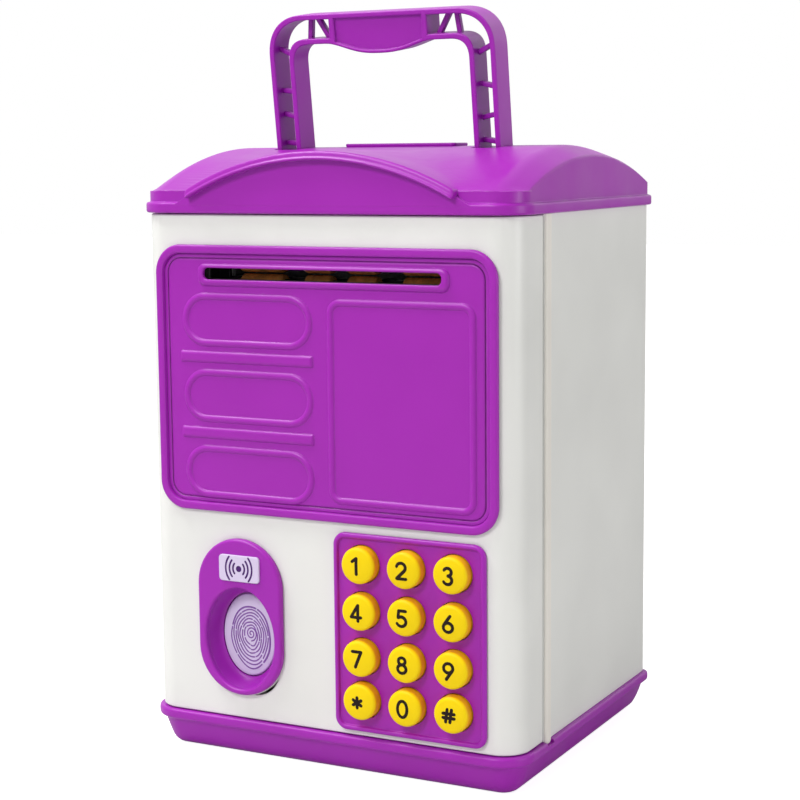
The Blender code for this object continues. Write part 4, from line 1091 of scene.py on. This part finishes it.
def whorl_shape():
    """A made-up whorl: a small spiral inside broken, wavering ovals."""
    draw = random.Random(7)
    shapes = []

    def lay(points, half_width=0.23):
        path = [(BEZEL.x + 0.5 + u, PAD_FRONT_Y, PAD.z - 0.3 + v) for u, v in points]
        shapes.append(ribbon(path, half_width, 0.05))

    spiral = [radians(250 - 17 * i) for i in range(42)]
    lay([(0.2 + (0.3 + 0.043 * i) * cos(a), 0.8 + (0.34 + 0.05 * i) * sin(a))
         for i, a in enumerate(spiral)])
    for ring in range(3, 10):
        width, height, middle = 0.8 * ring, 1.12 * ring, 0.6 - 0.12 * ring
        phase = draw.uniform(0, 6)
        start = draw.uniform(-90, 0)
        end = start + 352
        while start < end:
            stop = min(start + draw.uniform(45, 130), end)
            points = []
            for a in map(radians, spaced(start, stop, max(2, int((stop - start) / 6)))):
                foot = max(0.0, -sin(a))
                wave = 0.1 * sin(5 * a + phase)
                points.append(((width + wave) * cos(a) * (1 - 0.1 * foot) + 0.5 * foot,
                               middle + (height + wave) * sin(a)))
            lay(points, 0.29 if ring == 9 and sin(radians(stop)) > 0 else 0.23)
            start = stop + draw.uniform(4, 9) * 6 / ring
    return gather(shapes)


def signal_plate():
    """The pale plate above the pad, printed with a dot and three waves on each side of it."""
    edge = [(0.0, LABEL.y1 + 0.28), (0.0, LABEL.y0 + 0.2), (0.06, LABEL.y0 + 0.06), (0.22, LABEL.y0)]
    finish(block(LABEL.face, 1.2, edge, 6), "signal_plate", LILAC, "door", "signal_label")
    x, y, z = LABEL.x, LABEL.y0, LABEL.z
    shapes = [oval(x, z, [(0.7, 0.7, y + 0.02), (1.0, 1.0, y - 0.02), (0.8, 0.8, y - 0.06)], 24)]
    for side in (-1, 1):
        for radius, half_angle in ((2.1, 42), (3.4, 43), (4.8, 43)):
            wave = [(x + side * radius * cos(a), y, z + radius * sin(a) * 1.12)
                    for a in map(radians, spaced(-half_angle, half_angle, 12))]
            shapes.append(ribbon(wave, 0.32, 0.05))
    finish(gather(shapes), "signal_sign", PURPLE_INK, "door")


# --- handle

def mirrored(points):
    return [(-x, h) for x, h in points]


def bend(before, corner, after, radius, steps=10):
    """Points round a corner between two others, rounded by about a radius."""
    before, corner, after = Vector(before), Vector(corner), Vector(after)
    into, out = (before - corner).normalized(), (after - corner).normalized()
    reach = min(radius / tan(into.angle(out) / 2), (before - corner).length * 0.48,
                (after - corner).length * 0.48)
    start, end = corner + into * reach, corner + out * reach
    return [tuple((1 - t) ** 2 * start + 2 * t * (1 - t) * corner + t * t * end)
            for t in spaced(0, 1, steps)]


def outer_edge(inset):
    """The right half of the handle's outside, from its shoulder to the top rail, moved inward."""
    width = LEG_OUTER - SHOULDER_X - inset
    height = HANDLE_TOP - SHOULDER_H - inset
    points = [(SHOULDER_X + width * cos(a) ** 0.85, SHOULDER_H + height * sin(a) ** 0.85)
              for a in map(radians, spaced(0, 90, 16)[:-1])]
    return points + [(SHOULDER_X, HANDLE_TOP - inset)]


def underside(x):
    """The height of the handle's lower edge at x. The grip hangs below the rail."""
    t = min(1.0, abs(x) / GRIP_REACH) ** 1.4
    return GRIP_DIP + (HANDLE_UNDERSIDE - GRIP_DIP) * (3 * t * t - 2 * t ** 3)


def inner_edge(offset):
    """The right half of the handle's inside: up the leg, round the corner, along under the grip."""
    leg, rail = LEG_INNER + offset, HANDLE_UNDERSIDE + offset
    foot, end = (leg, 0.0), (GRIP_REACH, rail)
    points = [foot, *bend(foot, (leg, rail), end, 7.0 + offset * 0.4), end]
    return points + [(x, underside(x) + offset) for x in spaced(0, GRIP_REACH, 16)[15:0:-1]]


def handle_frame():
    """The rails: an outline with a window in each shoulder and one in the grip."""
    right, inside = outer_edge(0.0), inner_edge(0.0)
    outline = [(LEG_OUTER, 0.0), *right, *mirrored(right[::-1]), (-LEG_OUTER, 0.0),
               *mirrored(inside), (0.0, GRIP_DIP), *inside[::-1]]
    lower = [p for p in inner_edge(LEG_RAIL) if p[1] > LEG_WINDOW_FOOT and p[0] > GRIP_HALF]
    window = [(LEG_OUTER - LEG_RAIL, LEG_WINDOW_FOOT), *outer_edge(LEG_RAIL),
              (GRIP_HALF, HANDLE_TOP - LEG_RAIL), (GRIP_HALF, lower[-1][1]), *lower[::-1],
              (LEG_INNER + LEG_RAIL, LEG_WINDOW_FOOT)]
    edge, rail = GRIP_HALF - 1.9, 1.1
    half = [p for p in inner_edge(rail) if p[0] < edge]
    grip = [(-edge, HANDLE_TOP - 1.6), (edge, HANDLE_TOP - 1.6), *half, (0.0, GRIP_DIP + rail),
            *mirrored(half[::-1])]
    return plate([outline, window, mirrored(window), grip], HANDLE_HALF_DEPTH, 0.4)


def strut(side, start, end):
    start, end = Vector(start), Vector(end)
    along = (end - start).normalized()
    across = Vector((-along.y, along.x)) * STRUT_HALF
    corners = [start + across, end + across, end - across, start - across]
    return plate([[(side * p.x, p.y) for p in corners]], STRUT_HALF_DEPTH, 0.35)


def handle():
    """The rails with a web in the grip, struts, rungs and round feet, leaning as it stands."""
    web = [(-GRIP_HALF, HANDLE_TOP - 0.8), (GRIP_HALF, HANDLE_TOP - 0.8),
           *((x, underside(x) + 0.6) for x in spaced(GRIP_HALF, -GRIP_HALF, 30))]
    parts = [plate([web], HANDLE_HALF_DEPTH - 1.1, 0.1)]
    cuts = [rod((side * 28, 0, 0), (side * 44, 0, 0), HANDLE_BORE) for side in (-1, 1)]
    inner, outer = LEG_INNER + LEG_RAIL * 0.5, LEG_OUTER - LEG_RAIL * 0.5
    rungs = {1: ((36.8, 40.4), (27.9, 26.2), (17.0, 18.4), (10.4, 9.2)),
             -1: ((37.6, 41.0), (26.2, 27.3), (17.6, 19.8), (9.4, 10.2))}
    for side in (-1, 1):
        parts.append(strut(side, (25.9, HANDLE_TOP - 1), (26.8, 42.6)))
        parts.append(strut(side, (23.7, HANDLE_TOP - 1), (19.6, 43.4)))
        parts += [strut(side, (inner, low), (outer, high)) for low, high in rungs[side]]
        x0, x1 = span(side, LEG_INNER, LEG_OUTER)
        edge = ((0.0, FOOT_RADIUS - 0.6), (0.3, FOOT_RADIUS - 0.15), (0.7, FOOT_RADIUS))
        foot = [*edge, *((x1 - x0 - along, radius) for along, radius in edge[::-1])]
        parts.append(turned(foot, (x0, 0.0, 0.0), RIGHT))
        cuts.append(box(*span(side, LEG_INNER - 1, LEG_INNER + LUG_RELIEF), -9, 9, -9, LUG_REACH))
    carry = cut(join(handle_frame(), *parts), *cuts)
    lean = Matrix.Rotation(radians(HANDLE_LEAN), 4, "X")
    carry.data.transform(Matrix.Translation((0, PIVOT.y, PIVOT.z)) @ lean)
    finish(carry, "handle", PURPLE, "handle", "carry_handle")


# --- note feed

def ribbed_ring(x0, x1, radius, origin):
    """A rubber ring with shallow grooves round it."""
    length = x1 - x0 - 1.0
    count = int((x1 - x0) / RIB_PITCH)
    step = length / count
    profile = [(x0, 1.4), (x0, radius - 0.5), (x0 + 0.15, radius - 0.15)]
    for i in range(count):
        x = x0 + 0.5 + i * length / count
        profile += [(x + 0.1, radius), (x + step * 0.6, radius), (x + step * 0.7, radius - 0.12),
                    (x + step * 0.9, radius - 0.12)]
    profile += [(x1 - 0.15, radius - 0.15), (x1, radius - 0.5), (x1, 1.4)]
    return turned(profile, origin, RIGHT, 40)


def rollers():
    """Rubber rings on dark shafts, seen through the note slot."""
    groove = ((-1.6, SHAFT_RADIUS), (-1.6, 4.8), (-1.2, 4.8), (0, 3.8), (1.2, 4.8), (1.6, 4.8),
              (1.6, SHAFT_RADIUS))
    pulley = [(PULLEY_X + along, radius) for along, radius in groove]
    for body, place, radius, extra in (("drive", DRIVE, 4.0, pulley), ("idler", IDLER, 3.0, [])):
        node = f"{body}_roller"
        sides = Sides(node)
        origin = (0, place.y, place.z)
        shaft = [(sides.x0, 1.1), (sides.x0 + 0.4, SHAFT_RADIUS), *extra, (sides.x1 - 0.4, SHAFT_RADIUS),
                 (sides.x1, 1.1)]
        finish(turned(shaft, origin, RIGHT, 40), f"{body}_shaft", BLACK, body, node)
        rings = gather([ribbed_ring(x0, x1, radius, origin) for x0, x1 in RINGS])
        finish(rings, f"{body}_rings", BROWN_RUBBER, body)


# --- remaining nodes

def inner_parts():
    """The pieces inside, and the plain shells: the CAD's own shapes with rounded edges."""
    edges = ((WHITE, 0.35), (PURPLE, 0.3), (BLACK, 0.3), (DARK_RUBBER, 0.15), (STEEL, 0.15), (BOARD, 0.1),
             (CELL, 0.2), (WIRE, 0.0), (BROWN_RUBBER, 0.2))
    by_slot = {look[0]: (look, width) for look, width in edges}
    slots = {row["node"]: row["material_slot"] for row in frame["record"]["subparts"]}
    for node, item in sorted(frame["nodes"].items()):
        if item.hide_render:
            continue
        look, width = by_slot[slots[node]]
        if width:
            refine(node, look, width)
        else:
            item.data.materials.clear()
            item.data.materials.append(look[1])


# --- stage

WHITE_LIGHT = (1.0, 1.0, 1.0, 1.0)


def pale_floor():
    """A floor that the camera sees nearly white, while it still takes soft shadows."""
    n = Look("pale_floor")
    camera_ray = n.add("ShaderNodeLightPath").outputs["Is Camera Ray"]
    look = n.surface(
        Base_Color=n.mottle(n.noise(3.0), (0.62, 0.62, 0.62), (0.66, 0.66, 0.66)),
        Roughness=0.9,
        Emission_Color=WHITE_LIGHT,
        Emission_Strength=n.add("ShaderNodeMath", camera_ray, 0.85, operation="MULTIPLY").outputs["Value"])
    floor = solid(box(-3e3, 3e3, -3e3, 3e3, -10.0, 0.0))
    floor.name = "floor"
    floor.data.transform(Matrix.Scale(MM, 4))
    floor.data.materials.append(look)


def studio():
    """White all round: dim as a light, brighter in reflections, and full white to the camera."""
    n = Nodes(bpy.data.worlds.new("studio"))
    rays = n.add("ShaderNodeLightPath").outputs
    shader = n.add("ShaderNodeBackground", WHITE_LIGHT, 0.36)
    for ray, strength in (("Is Glossy Ray", 0.9), ("Is Camera Ray", 1.0)):
        other = n.add("ShaderNodeBackground", WHITE_LIGHT, strength)
        shader = n.add("ShaderNodeMixShader", rays[ray], shader.outputs[0], other.outputs[0])
    n.feed(shader.outputs[0], n.tree.nodes["World Output"].inputs["Surface"])
    bpy.context.scene.world = n.owner


def lights():
    """Four square soft lights, as (name, place, size, power), that all face the middle of the case."""
    target = Vector((0.0, 0.0, 0.11))
    for name, place, size, power in (
        ("key_light", (-0.3, -1.15, 1.05), 0.35, 9.3),
        ("top_light", (-0.45, -0.2, 0.95), 0.35, 7.0),
        ("side_light", (1.3, -0.1, 0.27), 0.5, 3.4),
        ("back_light", (0.3, 1.2, 0.7), 0.7, 1.0),
    ):
        data = bpy.data.lights.new(name, "AREA")
        data.size = size
        data.energy = power
        lamp = new_object(name, data)
        lamp.location = place
        lamp.rotation_euler = (target - lamp.location).to_track_quat("-Z", "Y").to_euler()


def camera():
    """The photograph's viewing angle: a turn about the vertical, a dip, and a roll."""
    heading, dip, roll = 27.48, 7.653, -0.5548
    data = bpy.data.cameras.new("camera")
    data.lens = 83.54
    data.sensor_width = 36.0
    data.clip_start = 0.01
    item = new_object("camera", data)
    item.rotation_mode = "QUATERNION"
    turn = (Matrix.Rotation(radians(heading), 3, "Z") @ Matrix.Rotation(radians(90 - dip), 3, "X")
            @ Matrix.Rotation(radians(roll), 3, "Z"))
    item.rotation_quaternion = turn.to_quaternion()
    item.location = (0.27902, -0.539, 0.19187)
    bpy.context.scene.camera = item
    bpy.context.scene.view_settings.view_transform = "Standard"


for build in (roof, coin_collar, base, body_wrap, front_strips, battery_lid, screws, door_front, slot_panel,
              keypad, scanner_bezel, scanner_pad, signal_plate, handle, rollers, inner_parts, pale_floor,
              studio, lights, camera):
    build()
